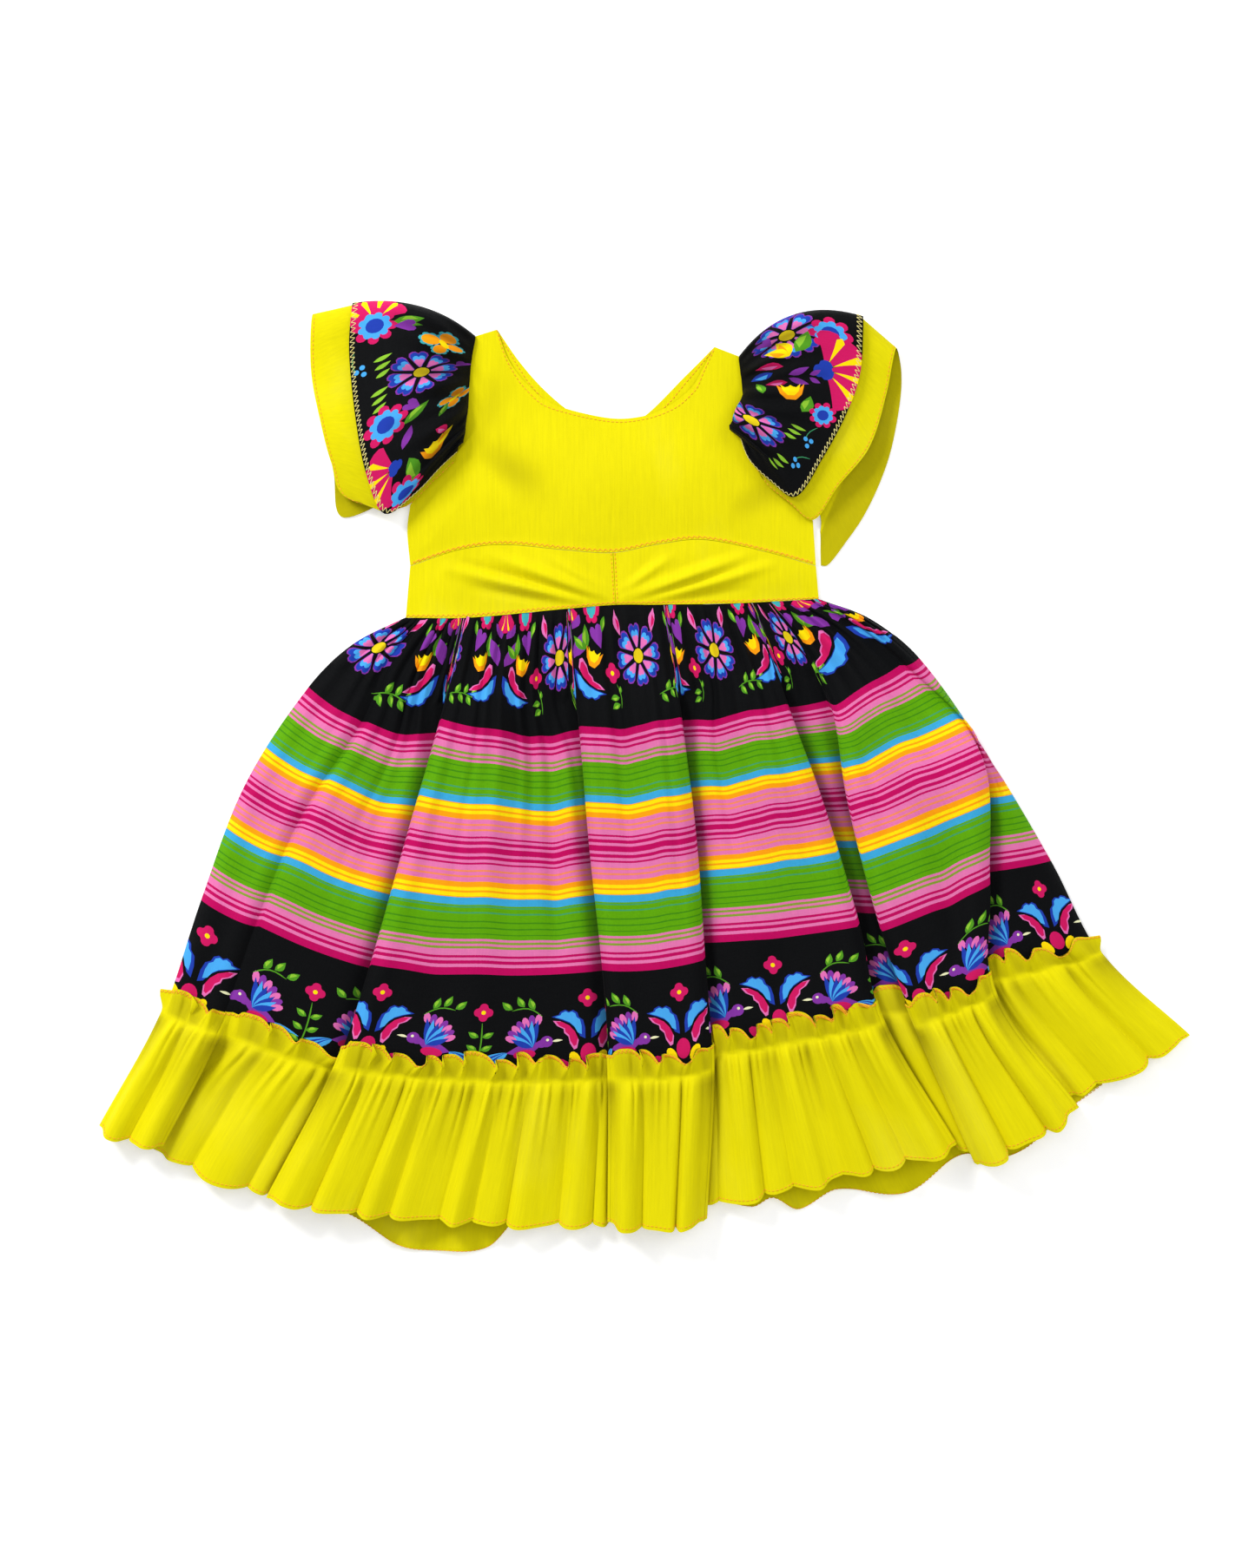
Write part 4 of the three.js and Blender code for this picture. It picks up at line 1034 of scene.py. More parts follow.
# Motifs of the two sleeves' front halves: x and y are places on the table, turn is the one in the front view.
SLEEVE_PRINT = {
    "right": table("motif x y turn size", [
        (rays(20, 5, 160), -186, 318, 12),
        (round_flower(13.5), -184, 308),
        (leaf(18, 7), -172, 319, -72),
        (leaf(17, 5), -171, 315, -92),
        (heart("purple", 7), -162, 308, -80),
        (butterfly(16), -139, 297, 30),
        (dashes(), -187, 285, 4),
        (dashes(), -187, 262),
        (daisy(21.5), -154, 277),
        (butterfly(14.5), -131, 261, -60),
        (berries(), -198, 276, 20),
        (heart("purple", 7), -160, 253, 40),
        (leaf(20, 8), -164, 241, -60),
        (round_flower(15), -179, 240),
        (leaf(17, 7, "purple", None), -165, 224, -30),
        (cup(), -146, 225, -8),
        (leaf(15, 7, "yellow", "orange"), -146, 224, -70),
        (leaf(20, 11), -156, 206, -8),
        (rays(23, 4, 140), -170, 214, 80),
        (round_flower(13.5), -165, 196),
        (leaf(12, 5), -141, 246, -30),
        (leaf(12, 6, "crimson", "rose"), -137, 238, 30),
        (heart("purple", 6), -128, 284, -30),
    ]),
    "left": table("motif x y turn size", [
        (daisy(21), 90, 319),
        (round_flower(13), 131, 321),
        (leaf(19, 10), 101, 292, -28),
        (leaf(16, 9, "yellow", "orange"), 98, 288, 26),
        (leaf(16, 8, "yellow", "orange"), 97, 288, 66),
        (rays(29, 5, 165), 123, 279, -72),
        (spray(), 99, 275, -82, 0.66),
        (leaf(17, 7, "crimson", "rose"), 96, 281, 84),
        (leaf(15, 8, "navy", "sky"), 87, 277, 120),
        (leaf(14, 6, "crimson", "rose"), 99, 271, 110),
        (cup(), 101, 262, 14),
        (leaf(15, 9), 107, 251, -8),
        (daisy(21.5), 73, 244),
        (round_flower(10), 121, 250),
        (dashes(), 99, 241, -8),
        (dashes(), 90, 223),
        (berries(), 110, 231),
        (berries(), 104, 217, -30),
        (heart("purple", 6), 83, 299, 30),
        (leaf(13, 6), 81, 262, 30),
    ]),
}
UP_THE_SLEEVE = {"right": 90, "left": -90}  # how the front view's up lies in the flat coordinates


def sleeve_shapes(name, points, flat):
    """Motifs of one sleeve, at their places on its front half and at the same ones on its back half."""
    _, level = sweep()
    if name == "right":
        level = level[::-1]
    front = np.nonzero(level == 1)[0]
    shapes = []
    for row in SLEEVE_PRINT[name]:
        away = np.hypot(points[:, front, 0] - row["x"], points[:, front, 1] - row["y"])
        r, c = np.unravel_index(away.argmin(), away.shape)
        c = front[c]
        turn = row.get("turn", 0) + UP_THE_SLEEVE[name]
        for column in (c, len(level) - 1 - c):
            shapes += turned(row["motif"], at=flat[r, column], turn=turn, size=row.get("size", 1))
    return shapes


CUT_TOLERANCE = 1e-5
ROUNDING = 1e-7


def cut_print(points, normals, flat, shapes):
    """Cuts outlines into a grid of cloth. Gives points, normals and flat places of the cut mesh, its
    triangles and each triangle's colour, or None for the ground.
    """
    rows, columns = points.shape[:2]
    number = np.arange(rows * columns).reshape(rows, columns)
    places = [Vector(p) for p in flat.reshape(-1, 2)]
    edges = np.concatenate([
        np.stack([number[:, :-1], number[:, 1:]], axis=2).reshape(-1, 2),
        np.stack([number[:-1], number[1:]], axis=2).reshape(-1, 2),
    ]).tolist()
    border = np.concatenate([number[-1], number[-2:0:-1, -1], number[0, ::-1], number[1:-1, 0]]).tolist()
    faces = [border]
    low, high = flat.min(axis=(0, 1)), flat.max(axis=(0, 1))
    colours = [None]
    for colour, outline in shapes:
        if (outline.max(axis=0) < low).any() or (outline.min(axis=0) > high).any():
            continue
        nxt = np.roll(outline, -1, axis=0)
        if (outline[:, 0] * nxt[:, 1] - outline[:, 1] * nxt[:, 0]).sum() < 0:
            outline = outline[::-1]
        faces.append(list(range(len(places), len(places) + len(outline))))
        places += [Vector(p) for p in outline]
        colours.append(colour)
    made_points, _, made_faces, _, _, covers = delaunay_2d_cdt(places, edges, faces, 0, CUT_TOLERANCE, True)
    triangles = [(tri, cover) for tri, cover in zip(made_faces, covers) if 0 in cover]
    flat_made = np.array([tuple(p) for p in made_points])
    shades = [colours[max(cover)] for _, cover in triangles]
    triangles = np.array([tri for tri, _ in triangles])
    used, triangles = np.unique(triangles, return_inverse=True)
    triangles = triangles.reshape(-1, 3)
    flat_made = flat_made[used]
    levels = flat[:, 0, 1]
    row = np.clip(np.searchsorted(-levels, -flat_made[:, 1] + ROUNDING, side="right") - 1, 0, rows - 2)
    place = np.zeros((len(used), 3))
    normal = np.zeros((len(used), 3))
    for r in range(rows - 1):
        at = np.nonzero(row == r)[0]
        if not len(at):
            continue
        f = ((levels[r] - flat_made[at, 1]) / (levels[r] - levels[r + 1])).clip(0, 1)[:, None]
        line = lerp(flat[r, :, 0][None, :], flat[r + 1, :, 0][None, :], f)
        column = np.clip((line <= flat_made[at, :1] + ROUNDING).sum(axis=1) - 1, 0, columns - 2)
        start = line[np.arange(len(at)), column]
        end = line[np.arange(len(at)), column + 1]
        g = ((flat_made[at, 0] - start) / np.maximum(end - start, 1e-9)).clip(0, 1)[:, None]
        for source, target in ((points, place), (normals, normal)):
            upper = lerp(source[r, column], source[r, column + 1], g)
            lower = lerp(source[r + 1, column], source[r + 1, column + 1], g)
            target[at] = lerp(upper, lower, f)
    normal /= np.linalg.norm(normal, axis=1, keepdims=True)
    return place, normal, flat_made, triangles, shades


def grid_faces(rows, columns):
    n = np.arange(rows * columns).reshape(rows, columns)
    return np.stack([n[1:, :-1], n[1:, 1:], n[:-1, 1:], n[:-1, :-1]], axis=2).reshape(-1, 4)


def make_object(name, mesh, materials):
    for material in materials:
        mesh.materials.append(material)
    piece = bpy.data.objects.new(name, mesh)
    bpy.context.scene.collection.objects.link(piece)
    return piece


NEIGHBOURS = 3  # points of the grid that a point of the cut mesh takes its painted shade from
NEAREST = 0.1  # added to their distances, so that none is 0


def shade_at_plan(plan, flat, depth):
    """The painted shade at each point of the plan, read from the nearest points of the grid."""
    tree = KDTree(flat[..., 0].size)
    for k, (across_print, down_print) in enumerate(flat.reshape(-1, 2)):
        tree.insert((across_print, down_print, 0), k)
    tree.balance()
    values = np.asarray(depth).reshape(-1)
    found = []
    for across_print, down_print in plan:
        near = tree.find_n((across_print, down_print, 0), NEIGHBOURS)
        weight = [1 / (distance + NEAREST) for _, _, distance in near]
        found.append(sum(values[k] * w for (_, k, _), w in zip(near, weight)) / sum(weight))
    return np.array(found)


def make_cloth(name, node, points, flat, material, shapes=(), level=False, depth=None):
    """A closed wall of cloth on a grid of points. A level wall keeps its lower face flat.

    depth, one value for each point, is painted shade that darkens cloth lying deep beside a fold.
    """
    normals = normals_of(points)
    if shapes:
        place, normal, plan, faces, shades = cut_print(points, normals, flat, shapes)
    else:
        place, normal, plan = points.reshape(-1, 3), normals.reshape(-1, 3), flat.reshape(-1, 2)
        faces = grid_faces(*points.shape[:2])
        shades = [None] * len(faces)
    count = len(place)
    half = CLOTH / 2 * (np.array([0.0, 0, 1]) if level else normal)
    vertices = np.concatenate([place + half, place - half]) * MM
    vertices[:, Z] = np.maximum(vertices[:, Z], 0)
    start = faces.reshape(-1)
    end = np.roll(faces, -1, axis=1).reshape(-1)
    lone = ~np.isin(start * count + end, end * count + start)
    rim = np.stack([end[lone], start[lone], start[lone] + count, end[lone] + count], axis=1)
    every = faces.tolist() + (faces[:, ::-1] + count).tolist() + rim.tolist()
    mesh = bpy.data.meshes.new(name)
    mesh.from_pydata(vertices.tolist(), [], every)
    mesh.update()
    corner = np.zeros(len(mesh.loops), np.int64)
    mesh.loops.foreach_get("vertex_index", corner)
    # Painted shade, kept on each point for the materials to darken the colour with.
    darkness = np.zeros(count)
    if depth is not None:
        darkness = shade_at_plan(plan, flat, depth) if shapes else np.reshape(depth, -1)
    hollow = mesh.attributes.new("hollow", "FLOAT", "POINT")
    hollow.data.foreach_set("value", np.tile(darkness, 2).astype(np.float32))
    uv = (plan[corner % count] * MM).astype(np.float32)
    mesh.uv_layers.new(name="cloth").data.foreach_set("uv", uv.ravel())
    if shapes:
        tone = np.zeros((len(every), 4), np.float32)
        for k, shade in enumerate(shades):
            if shade:
                tone[k] = paint(shade)
        sizes = np.array([len(f) for f in every])
        layer = mesh.color_attributes.new("print", "FLOAT_COLOR", "CORNER")
        layer.data.foreach_set("color", np.repeat(tone, sizes, axis=0).ravel())
    mesh.polygons.foreach_set("use_smooth", np.ones(len(every), bool))
    mesh.normals_split_custom_set_from_vertices(np.concatenate([normal, -normal]).tolist())
    piece = make_object(name, mesh, [material])
    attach(piece, "root")
    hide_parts(node)
    return piece


def line_on(points, row=None, column=None):
    """A line on the upper side of a grid of cloth, at a fractional row or column, and its normals."""
    normals = normals_of(points)
    sides = (points + normals * CLOTH / 2, normals)
    if row is not None:
        k = min(int(row), points.shape[0] - 2)
        return [lerp(side[k], side[k + 1], row - k) for side in sides]
    k = min(int(column), points.shape[1] - 2)
    return [lerp(side[:, k], side[:, k + 1], column - k) for side in sides]


def along_line(line):
    """The distance along a line at each of its points."""
    places, _ = line
    return np.concatenate([[0], np.cumsum(np.linalg.norm(np.diff(places, axis=0), axis=1))])


def spaced(line, distances):
    """Points of a line and its normals at distances along it."""
    arc = along_line(line)
    return [np.stack([np.interp(distances, arc, part[:, k]) for k in range(3)], axis=1) for part in line]


THREAD_SIDES = 5
# A stitch from end to end: each ring's share of its length, its share of the radius, and its lift in radii.
THREAD_RINGS = [(0.0, 0.45, -0.8), (0.16, 1.0, 0.35), (0.84, 1.0, 0.35), (1.0, 0.45, -0.8)]


def threads(name, segments, radius, material):
    """One mesh of short round threads, each from a start to an end along the cloth, with its ends sunk in."""
    start, end, normal = (np.concatenate(parts) for parts in zip(*segments))
    along = end - start
    side = np.cross(along, normal)
    side /= np.maximum(np.linalg.norm(side, axis=1, keepdims=True), 1e-9)
    angle = 2 * np.pi * np.arange(THREAD_SIDES) / THREAD_SIDES
    vertices = []
    for share, wide, lift in THREAD_RINGS:
        centre = start + along * share + normal * radius * lift
        ring = np.cos(angle)[None, :, None] * side[:, None] + np.sin(angle)[None, :, None] * normal[:, None]
        vertices.append(centre[:, None] + ring * radius * wide)
    vertices = np.stack(vertices, axis=1).reshape(-1, 3) * MM
    each = len(THREAD_RINGS) * THREAD_SIDES
    faces = []
    for r in range(len(THREAD_RINGS) - 1):
        for k in range(THREAD_SIDES):
            n = (k + 1) % THREAD_SIDES
            a = r * THREAD_SIDES
            faces.append([a + k, a + n, a + n + THREAD_SIDES, a + k + THREAD_SIDES])
    faces = np.array(faces)
    every = (faces[None] + each * np.arange(len(start))[:, None, None]).reshape(-1, 4).tolist()
    caps = np.stack([np.arange(THREAD_SIDES)[::-1], np.arange(THREAD_SIDES) + each - THREAD_SIDES])
    every += (caps[None] + each * np.arange(len(start))[:, None, None]).reshape(-1, THREAD_SIDES).tolist()
    mesh = bpy.data.meshes.new(name)
    mesh.from_pydata(vertices.tolist(), [], every)
    mesh.polygons.foreach_set("use_smooth", np.ones(len(every), bool))
    mesh.update()
    piece = make_object(name, mesh, [material])
    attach(piece, "root")
    return piece


def running(line, pitch=3.0, length=2.2):
    """Stitches one after the other along a line."""
    total = along_line(line)[-1]
    begin = np.arange(0, total - length, pitch)
    start, normal = spaced(line, begin)
    end, _ = spaced(line, begin + length)
    return start, end, normal


FEWEST_KNOTS = 4


def zigzag(line, other, pitch=1.7):
    """Stitches that go back and forth between two lines of about the same length."""
    total = along_line(line)[-1]
    count = max(FEWEST_KNOTS, int(total / pitch))
    near, normal = spaced(line, np.linspace(0, total, count))
    far, _ = spaced(other, np.linspace(0, along_line(other)[-1], count))
    knots = np.where((np.arange(count) % 2)[:, None] == 0, near, far)
    return knots[:-1], knots[1:], normal[:-1]


# Every noise of the materials: its fineness to a metre, its detail, and how its pattern is drawn out.
NOISES = {row["name"]: row for row in table("name scale detail stretch", [
    ("slub", 900, 3, (1, 0.06, 1)),
    ("cross", 700, 2, (0.1, 1, 1)),
    ("cloud", 14, 3, (1, 1, 1)),
    ("streaks", 520, 2, (1, 0.045, 1)),
    ("patches", 11, 4, (1, 0.6, 1)),
    ("ragged", 1500, 2, (1, 1, 1)),
    ("fibres", 1300, 2, (0.16, 1, 1)),
    ("thread", 420, 2, (1, 1, 1)),
    ("grain", 60, 3, (1, 1, 1)),
])}


class Shader:
    """A material's node tree, built by short calls."""

    def __init__(self, name):
        self.material = bpy.data.materials.new(name)
        self.material.use_nodes = True
        self.tree = self.material.node_tree
        self.surface = self.tree.nodes["Principled BSDF"]

    def node(self, kind, inputs=None, **settings):
        made = self.tree.nodes.new(kind)
        for key, value in settings.items():
            setattr(made, key, value)
        for key, value in (inputs or {}).items():
            self.put(made.inputs[key], value)
        return made

    def put(self, socket, value):
        if isinstance(value, bpy.types.NodeSocket):
            self.tree.links.new(value, socket)
        else:
            socket.default_value = value

    def math(self, operation, a, b=0.0, c=0.0):
        return self.node("ShaderNodeMath", {0: a, 1: b, 2: c}, operation=operation).outputs[0]

    def mix(self, factor, a, b, blend="MIX"):
        made = self.node("ShaderNodeMix", data_type="RGBA", blend_type=blend)
        for key, value in (("Factor_Float", factor), ("A_Color", a), ("B_Color", b)):
            self.put(next(s for s in made.inputs if s.identifier == key), value)
        return next(s for s in made.outputs if s.identifier == "Result_Color")

    def noise(self, vector, name):
        row = NOISES[name]
        mapped = self.node("ShaderNodeMapping", {"Vector": vector, "Scale": row["stretch"]}).outputs[0]
        settings = {"Vector": mapped, "Scale": row["scale"], "Detail": row["detail"]}
        return self.node("ShaderNodeTexNoise", settings).outputs[0]

    def ramp(self, factor, stops):
        made = self.node("ShaderNodeValToRGB", {"Fac": factor})
        made.color_ramp.interpolation = "CONSTANT"
        elements = made.color_ramp.elements
        while len(elements) < len(stops):
            elements.new(0.5)
        for element, (position, _) in zip(elements, stops):
            element.position = position
        for element, (_, colour) in zip(elements, stops):
            element.color = paint(colour)
        return made.outputs[0]


WEAVE_PITCH = 0.62
SHEEN = 0.02
SHEEN_ROUGHNESS = 0.4
CLOTH_SPECULAR = 0.08


def weave_finish(shader, cloth, colour, roughness, depth, slub_depth):
    """Threads, slubs and a soft sheen on a cloth's colour."""
    parts = shader.node("ShaderNodeSeparateXYZ", {0: cloth})
    warp, weft = [
        shader.math("SINE", shader.math("MULTIPLY", parts.outputs[k], 2 * math.pi / (WEAVE_PITCH * MM)))
        for k in range(2)
    ]
    weave = shader.math("MULTIPLY", warp, weft)
    slub = shader.noise(cloth, "slub")
    cross = shader.noise(cloth, "cross")
    cloud = shader.noise(cloth, "cloud")
    height = shader.math("MULTIPLY", weave, depth)
    height = shader.math("MULTIPLY_ADD", cross, slub_depth / 2, height)
    height = shader.math("MULTIPLY_ADD", slub, slub_depth, height)
    bump = shader.node("ShaderNodeBump", {"Height": height, "Strength": 0.6, "Distance": 0.0004})
    streak = shader.math("MULTIPLY_ADD", slub, 0.14, 0.93)
    tone = shader.math("MULTIPLY", streak, shader.math("MULTIPLY_ADD", cloud, 0.16, 0.92))
    grey = shader.node("ShaderNodeCombineColor", {0: tone, 1: tone, 2: tone}).outputs[0]
    tinted = shader.mix(1.0, colour, grey, "MULTIPLY")
    rough = shader.math("MULTIPLY_ADD", cross, 0.2, roughness - 0.1)
    surface = shader.surface.inputs
    shader.put(surface["Base Color"], tinted)
    shader.put(surface["Roughness"], rough)
    shader.put(surface["Normal"], bump.outputs[0])
    surface["Sheen Weight"].default_value = SHEEN
    surface["Sheen Roughness"].default_value = SHEEN_ROUGHNESS
    surface["Specular IOR Level"].default_value = CLOTH_SPECULAR


def yellow_cotton():
    shader = Shader("yellow_cotton")
    cloth = shader.node("ShaderNodeTexCoord").outputs["UV"]
    streaks = shader.noise(cloth, "streaks")
    mixed = shader.mix(shader.math("MULTIPLY", streaks, 0.6), paint("cloth_yellow"), paint("cloth_shade"))
    # Painted highlight: pale satin glints in large patches along the streaks.
    patches = shader.math("MULTIPLY_ADD", shader.noise(cloth, "patches"), 6, -3.3)
    patches = shader.math("MINIMUM", shader.math("MAXIMUM", patches, 0), 1)
    painted_glint = shader.math("MULTIPLY", patches, shader.math("MULTIPLY", streaks, 0.2))
    mixed = shader.mix(painted_glint, mixed, paint("cloth_pale"))
    # Painted shade: the yellow turns dark olive where the cloth lies deep.
    hollow = shader.node("ShaderNodeAttribute", attribute_name="hollow").outputs["Fac"]
    mixed = shader.mix(hollow, mixed, paint("cloth_deep"))
    weave_finish(shader, cloth, mixed, roughness=0.7, depth=0.16, slub_depth=0.45)
    return shader.material


# The stripes from the edge of the band to its middle: where each starts, in millimetres, and its colour.
STRIPES = [
    (0, "magenta"), (5.1, "pink"), (7.4, "magenta"), (9.5, "pink"), (11.6, "magenta"), (13.1, "pink"),
    (17.9, "olive"), (19.5, "pink"), (21.1, "olive"), (22.7, "pink"), (24.3, "green"), (27.1, "dark_green"),
    (28, "green"), (31.2, "dark_green"), (32.1, "green"), (35.3, "dark_green"), (36.5, "green"),
    (41.3, "teal"), (42.4, "green"), (45.1, "teal"), (46.1, "green"), (47.3, "blue"), (52, "orange"),
    (52.6, "yellow"), (55.4, "orange"), (56.7, "yellow"), (58.9, "orange"), (62.3, "pink"), (65.3, "rust"),
    (66.8, "pink"), (69, "rust"), (70.4, "pink"), (73.8, "magenta"), (75.3, "pink"), (77, "magenta"),
    (79.4, "pink"), (81.4, "magenta"),
]
INNER_STRIPES = 47.3  # the first stripe of the second colour ramp


def printed_cloth(name, striped):
    """Black cloth with motifs from the mesh's print colours, and on the skirt a band of stripes."""
    shader = Shader(name)
    cloth = shader.node("ShaderNodeTexCoord").outputs["UV"]
    ground = paint("black")
    if striped:
        half = STRIPES_MIDDLE - BORDER_ENDS
        ragged = shader.noise(cloth, "ragged")
        down = shader.node("ShaderNodeSeparateXYZ", {0: cloth}).outputs[1]
        from_middle = shader.math("ABSOLUTE", shader.math("ADD", down, STRIPES_MIDDLE * MM))
        inward = shader.math("SUBTRACT", half, shader.math("DIVIDE", from_middle, MM))
        inward = shader.math("ADD", inward, shader.math("MULTIPLY_ADD", ragged, 0.5, -0.25))
        outer = [(at / half, colour) for at, colour in STRIPES if at < INNER_STRIPES]
        inner = [(at / half, colour) for at, colour in STRIPES if at >= INNER_STRIPES]
        share = shader.math("DIVIDE", inward, half)
        outer = shader.ramp(share, outer)
        inner = shader.ramp(share, [(0, "blue")] + inner[1:])
        band = shader.mix(shader.math("GREATER_THAN", inward, INNER_STRIPES), outer, inner)
        fibres = shader.noise(cloth, "fibres")
        worn = shader.math("MULTIPLY_ADD", fibres, 0.5, -0.12)
        band = shader.mix(worn, band, paint("cream"), "SOFT_LIGHT")
        ground = shader.mix(shader.math("GREATER_THAN", inward, 0.0), ground, band)
    motifs = shader.node("ShaderNodeVertexColor", layer_name="print")
    mixed = shader.mix(motifs.outputs["Alpha"], ground, motifs.outputs["Color"])
    # Painted shade: the print turns black where the cloth lies deep.
    hollow = shader.node("ShaderNodeAttribute", attribute_name="hollow").outputs["Fac"]
    mixed = shader.mix(hollow, mixed, paint("black"))
    weave_finish(shader, cloth, mixed, roughness=0.6, depth=0.28, slub_depth=0.6)
    return shader.material


def thread_material(name, colour, other):
    """Twisted sewing thread in two tones."""
    shader = Shader(name)
    place = shader.node("ShaderNodeTexCoord").outputs["Object"]
    tone = shader.noise(place, "thread")
    waves = {"Vector": place, "Scale": 900, "Distortion": 1.0}
    twist = shader.node("ShaderNodeTexWave", waves, bands_direction="DIAGONAL")
    bump = shader.node("ShaderNodeBump", {"Height": twist.outputs[1], "Strength": 0.5, "Distance": 0.0001})
    surface = shader.surface.inputs
    shader.put(surface["Base Color"], shader.mix(tone, paint(colour), paint(other)))
    shader.put(surface["Normal"], bump.outputs[0])
    shader.put(surface["Roughness"], shader.math("MULTIPLY_ADD", tone, 0.3, 0.4))
    return shader.material


def floor_paper():
    """White paper that reflects a little light of its own."""
    shader = Shader("floor_paper")
    grain = shader.noise(shader.node("ShaderNodeTexCoord").outputs["Object"], "grain")
    surface = shader.surface.inputs
    shader.put(surface["Base Color"], shader.mix(grain, (0.93, 0.93, 0.93, 1), (0.9, 0.9, 0.9, 1)))
    surface["Roughness"].default_value = 0.9
    surface["Emission Color"].default_value = (1, 1, 1, 1)
    surface["Emission Strength"].default_value = 0.3
    return shader.material


cotton = yellow_cotton()
skirt_cloth = printed_cloth("skirt_print", True)
sleeve_cloth = printed_cloth("sleeve_print", False)
gold_thread = thread_material("gold_thread", "stitch", "orange")
cream_thread = thread_material("cream_thread", "cream", "gold")


# The skirt.
border_prints = skirt_shapes()
points, flat, depth = skirt_front()
skirt = make_cloth("front_skirt", "skirt_front", points, flat, skirt_cloth, border_prints,
                   depth=depth)
points, flat = skirt_back()
back_skirt = make_cloth("back_skirt", "skirt_back", points, flat, skirt_cloth, border_prints,
                        level=True)

# The ruffle.
ruffle_points, flat, depth = ruffle_front()
ruffle = make_cloth("front_ruffle", "ruffle_front", ruffle_points, flat, cotton, depth=depth)
back_ruffle_points, flat = ruffle_back()
back_ruffle = make_cloth("back_ruffle", "ruffle_back", back_ruffle_points, flat, cotton,
                         level=True)
HEM_STITCHES = RUFFLE_HEM - 2.4
HEADING_OVERLOCK = [HEADING_TOP + 0.3, HEADING_TOP + 2.6]
THICK_THREAD = 0.3  # radii
THREAD = 0.28
FINE_THREAD = 0.24


def ruffle_line(points, v):
    return line_on(points, row=float(np.interp(v, RUFFLE_ROWS, np.arange(len(RUFFLE_ROWS)))))


ruffle_stitches = threads("front_ruffle_stitches", [
    running(ruffle_line(ruffle_points, HEM_STITCHES)),
    zigzag(*[ruffle_line(ruffle_points, v) for v in HEADING_OVERLOCK], pitch=1.5),
], THICK_THREAD, gold_thread)
back_ruffle_stitches = threads("back_ruffle_stitches", [
    running(ruffle_line(back_ruffle_points, HEM_STITCHES)),
], THICK_THREAD, gold_thread)

# The bodice.
SEAM_COLUMNS = slice(60, 141)  # columns of the bodice that end at the waistband's seam
NECK_STITCHES = 0.9  # rows of stitches, by the grid's rows from the edge
BACK_NECK_STITCHES = 0.55
SEAM_OVERLOCK = [1.0, 0.2]
BAND_OVERLOCK = [0.3, 1.6]
CENTRE_STITCHES = 0.6
SLEEVE_OVERLOCK = [0.1, 0.95]
SLEEVE_HEM_STITCHES = 0.85
# Painted shade in the troughs of the bodice's and the band's creases.
BODICE_SHADE = 0.3
BAND_SHADE = 0.11


def zigzag_above(points, offsets):
    """An overlock between two lines above the lower edge of a grid of cloth."""
    last = points.shape[0] - 1
    return zigzag(*[line_on(points, row=last - offset) for offset in offsets])


bodice_points, flat = bodice(NECKLINE, BODICE_ROWS, BODICE_COLUMNS, front_height)
depth = crease_shade(bodice_points, BODICE_CREASES, BODICE_SHADE)
front = make_cloth("front_bodice", "bodice_front", bodice_points, flat, cotton, depth=depth)
back_points, flat = bodice(BACK_NECKLINE, BACK_BODICE_ROWS, BACK_BODICE_COLUMNS,
                           lambda t, share, x, y: np.full(np.shape(x), TABLE_LAYER))
back = make_cloth("back_bodice", "bodice_back", back_points, flat, cotton, level=True)
bodice_stitches = threads("front_bodice_stitches", [
    running(line_on(bodice_points, row=NECK_STITCHES)),
    zigzag(*[
        [part[SEAM_COLUMNS] for part in line_on(bodice_points, row=BODICE_ROWS - offset)]
        for offset in SEAM_OVERLOCK
    ], pitch=1.8),
], THICK_THREAD, gold_thread)
back_stitches = threads("back_bodice_stitches", [
    running(line_on(back_points, row=BACK_NECK_STITCHES)),
], THICK_THREAD, gold_thread)

# The waistband.
bands = {}
for side, end in (("right", 0), ("left", 1)):
    band_points, flat = front_band(side, end)
    node = "waistband_front_" + side
    depth = crease_shade(band_points, BAND_CREASES, BAND_SHADE)
    band = make_cloth("front_band_" + side, node, band_points, flat, cotton, depth=depth)
    centre = BAND_COLUMNS - CENTRE_STITCHES if side == "right" else CENTRE_STITCHES
    stitches = threads("front_band_stitches_" + side, [
        zigzag_above(band_points, BAND_OVERLOCK),
        running(line_on(band_points, column=centre)),
    ], THREAD, gold_thread)
    bands[side] = (band, stitches)
band_points, flat = back_band()
back_band_piece = make_cloth("back_band", "waistband_back", band_points, flat, cotton,
                             level=True)

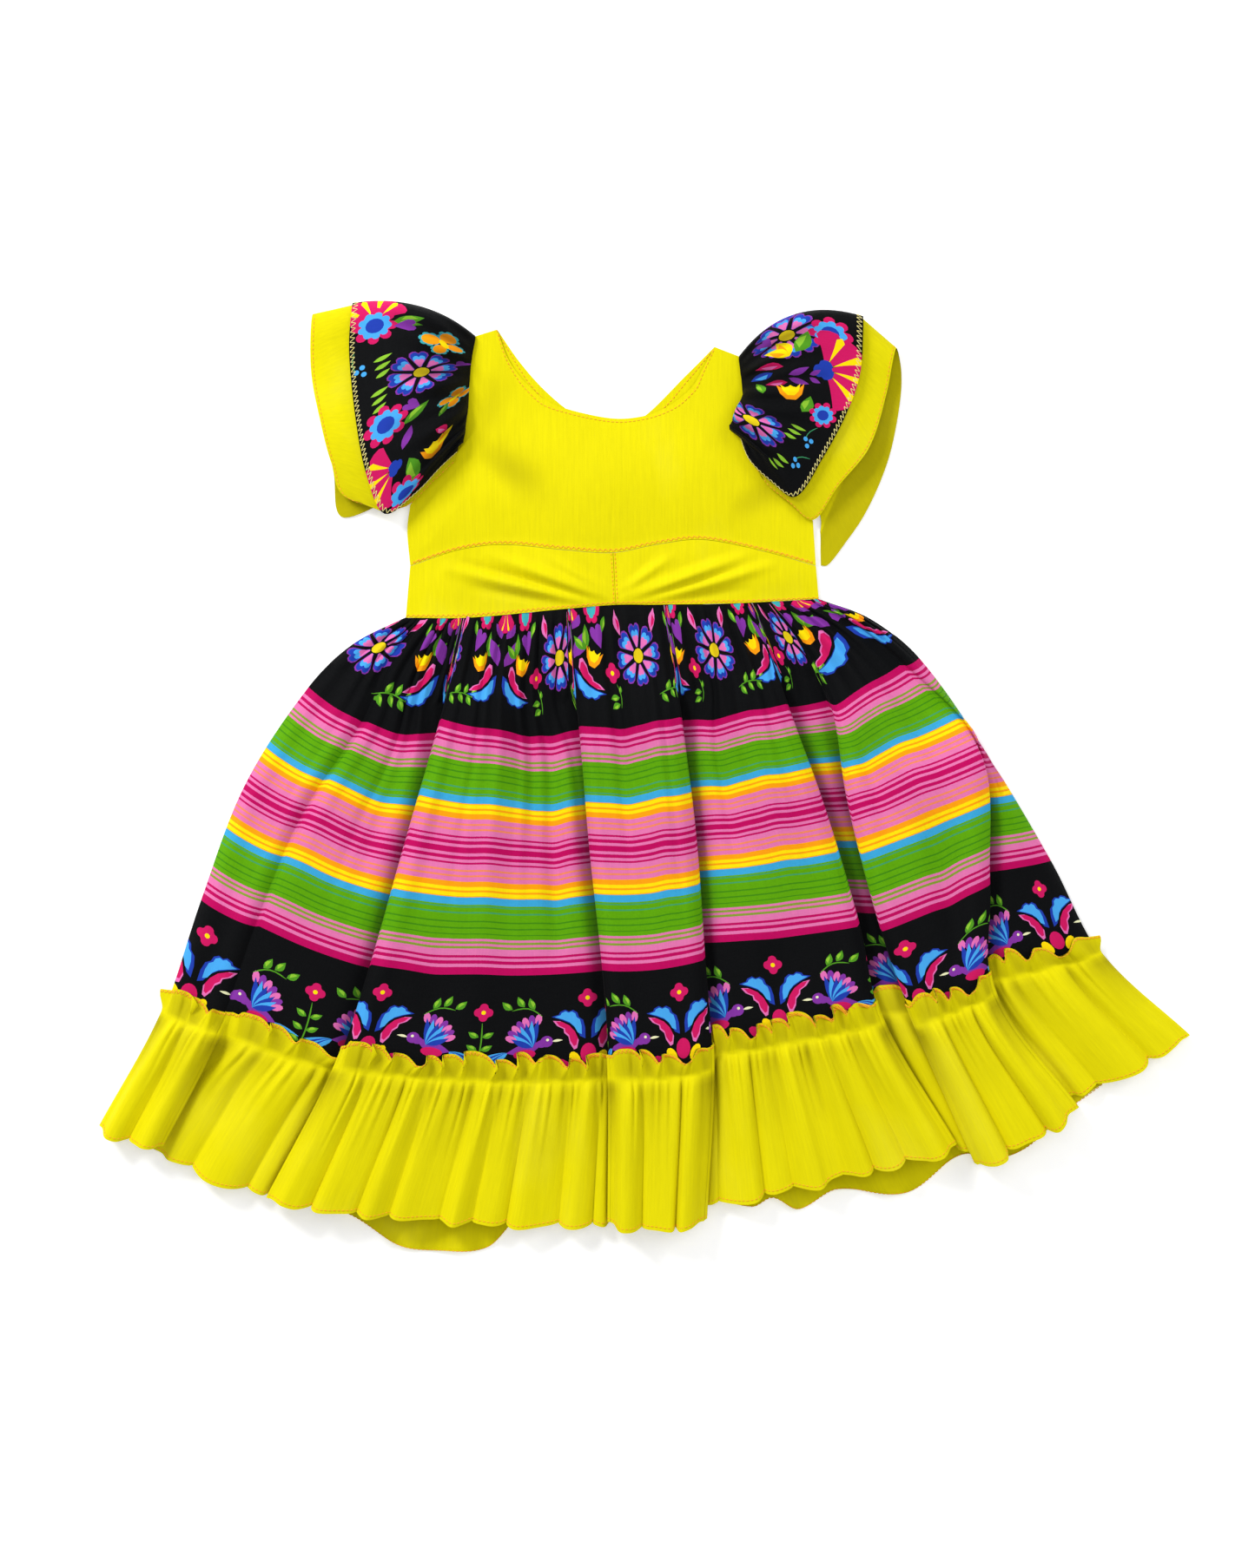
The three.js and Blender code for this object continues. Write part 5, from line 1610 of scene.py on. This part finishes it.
# The sleeves.
PRINT_ROWS = np.concatenate([np.linspace(0, 0.3, 9), np.linspace(0.35, 1, 14)])
UNDER_ROWS = np.concatenate([PRINT_ROWS, np.linspace(1.08, 2, 12)])
for sleeve in SLEEVES:
    name = sleeve["name"]
    points, flat, depth = sleeve_grid(sleeve, PRINT_ROWS)
    upper = make_cloth(f"{name}_sleeve_print", f"sleeve_{name}_print", points, flat, sleeve_cloth,
                       sleeve_shapes(name, points, flat), depth=depth)
    overlock = threads(f"{name}_sleeve_overlock", [zigzag_above(points, SLEEVE_OVERLOCK)], FINE_THREAD,
                       cream_thread)
    points, flat, depth = sleeve_grid(sleeve, UNDER_ROWS, UNDER_TUCK)
    points = points - normals_of(points) * LAYER
    under = make_cloth(f"{name}_sleeve_under", f"sleeve_{name}_under", points, flat, cotton,
                       depth=depth)
    above_hem = line_on(points, row=len(UNDER_ROWS) - 1 - SLEEVE_HEM_STITCHES)
    hem = threads(f"{name}_sleeve_hem_stitches", [running(above_hem)], THREAD, gold_thread)

# Each half of the waistband and its stitches, read back from the list.
for side in ("right", "left"):
    band, stitches = bands[side]

# The floor, the light and the camera.
FRAME_CENTRE = (-12, -4.8)  # middle of the picture on the table, in millimetres
FRAME_TALL = 1083.6  # height of the picture on the table
LENS = 85
SENSOR = 36
FLOOR_SIZE = 6
# Softboxes: places and sizes in metres, powers in watts.
LIGHTS = table("name place size power", [
    ("softbox_left", (-1.5, 1.6, 1.4), (0.8, 0.8), 52),
    ("softbox_right", (1.9, 1.0, 1.6), (1.2, 1.2), 18),
    ("softbox_top", (0.0, 0.3, 3.0), (2.4, 2.4), 20),
])
SKY_STRENGTH = 0.45

bpy.ops.mesh.primitive_plane_add(size=FLOOR_SIZE, location=(0, 0, -SEAM_GAP * MM))
floor = bpy.context.object
floor.name = "floor"
floor.data.materials.append(floor_paper())


def area_light(name, place, size, power):
    light = bpy.data.lights.new(name, "AREA")
    light.shape = "RECTANGLE"
    light.size, light.size_y = size
    light.energy = power
    lamp = bpy.data.objects.new(name, light)
    lamp.location = place
    lamp.rotation_mode = "QUATERNION"
    lamp.rotation_quaternion = (-Vector(place)).to_track_quat("-Z", "Y")
    bpy.context.scene.collection.objects.link(lamp)


for row in LIGHTS:
    area_light(**row)

world = bpy.data.worlds.new("studio")
world.use_nodes = True
world.node_tree.nodes["Background"].inputs[0].default_value = (1, 1, 1, 1)
world.node_tree.nodes["Background"].inputs[1].default_value = SKY_STRENGTH
bpy.context.scene.world = world
bpy.context.scene.view_settings.view_transform = "Standard"

camera = bpy.data.cameras.new("camera")
camera.lens = LENS
camera.sensor_width = SENSOR
eye = bpy.data.objects.new("camera", camera)
eye.location = (FRAME_CENTRE[0] * MM, FRAME_CENTRE[1] * MM, FRAME_TALL * MM * LENS / SENSOR)
bpy.context.scene.collection.objects.link(eye)
bpy.context.scene.camera = eye
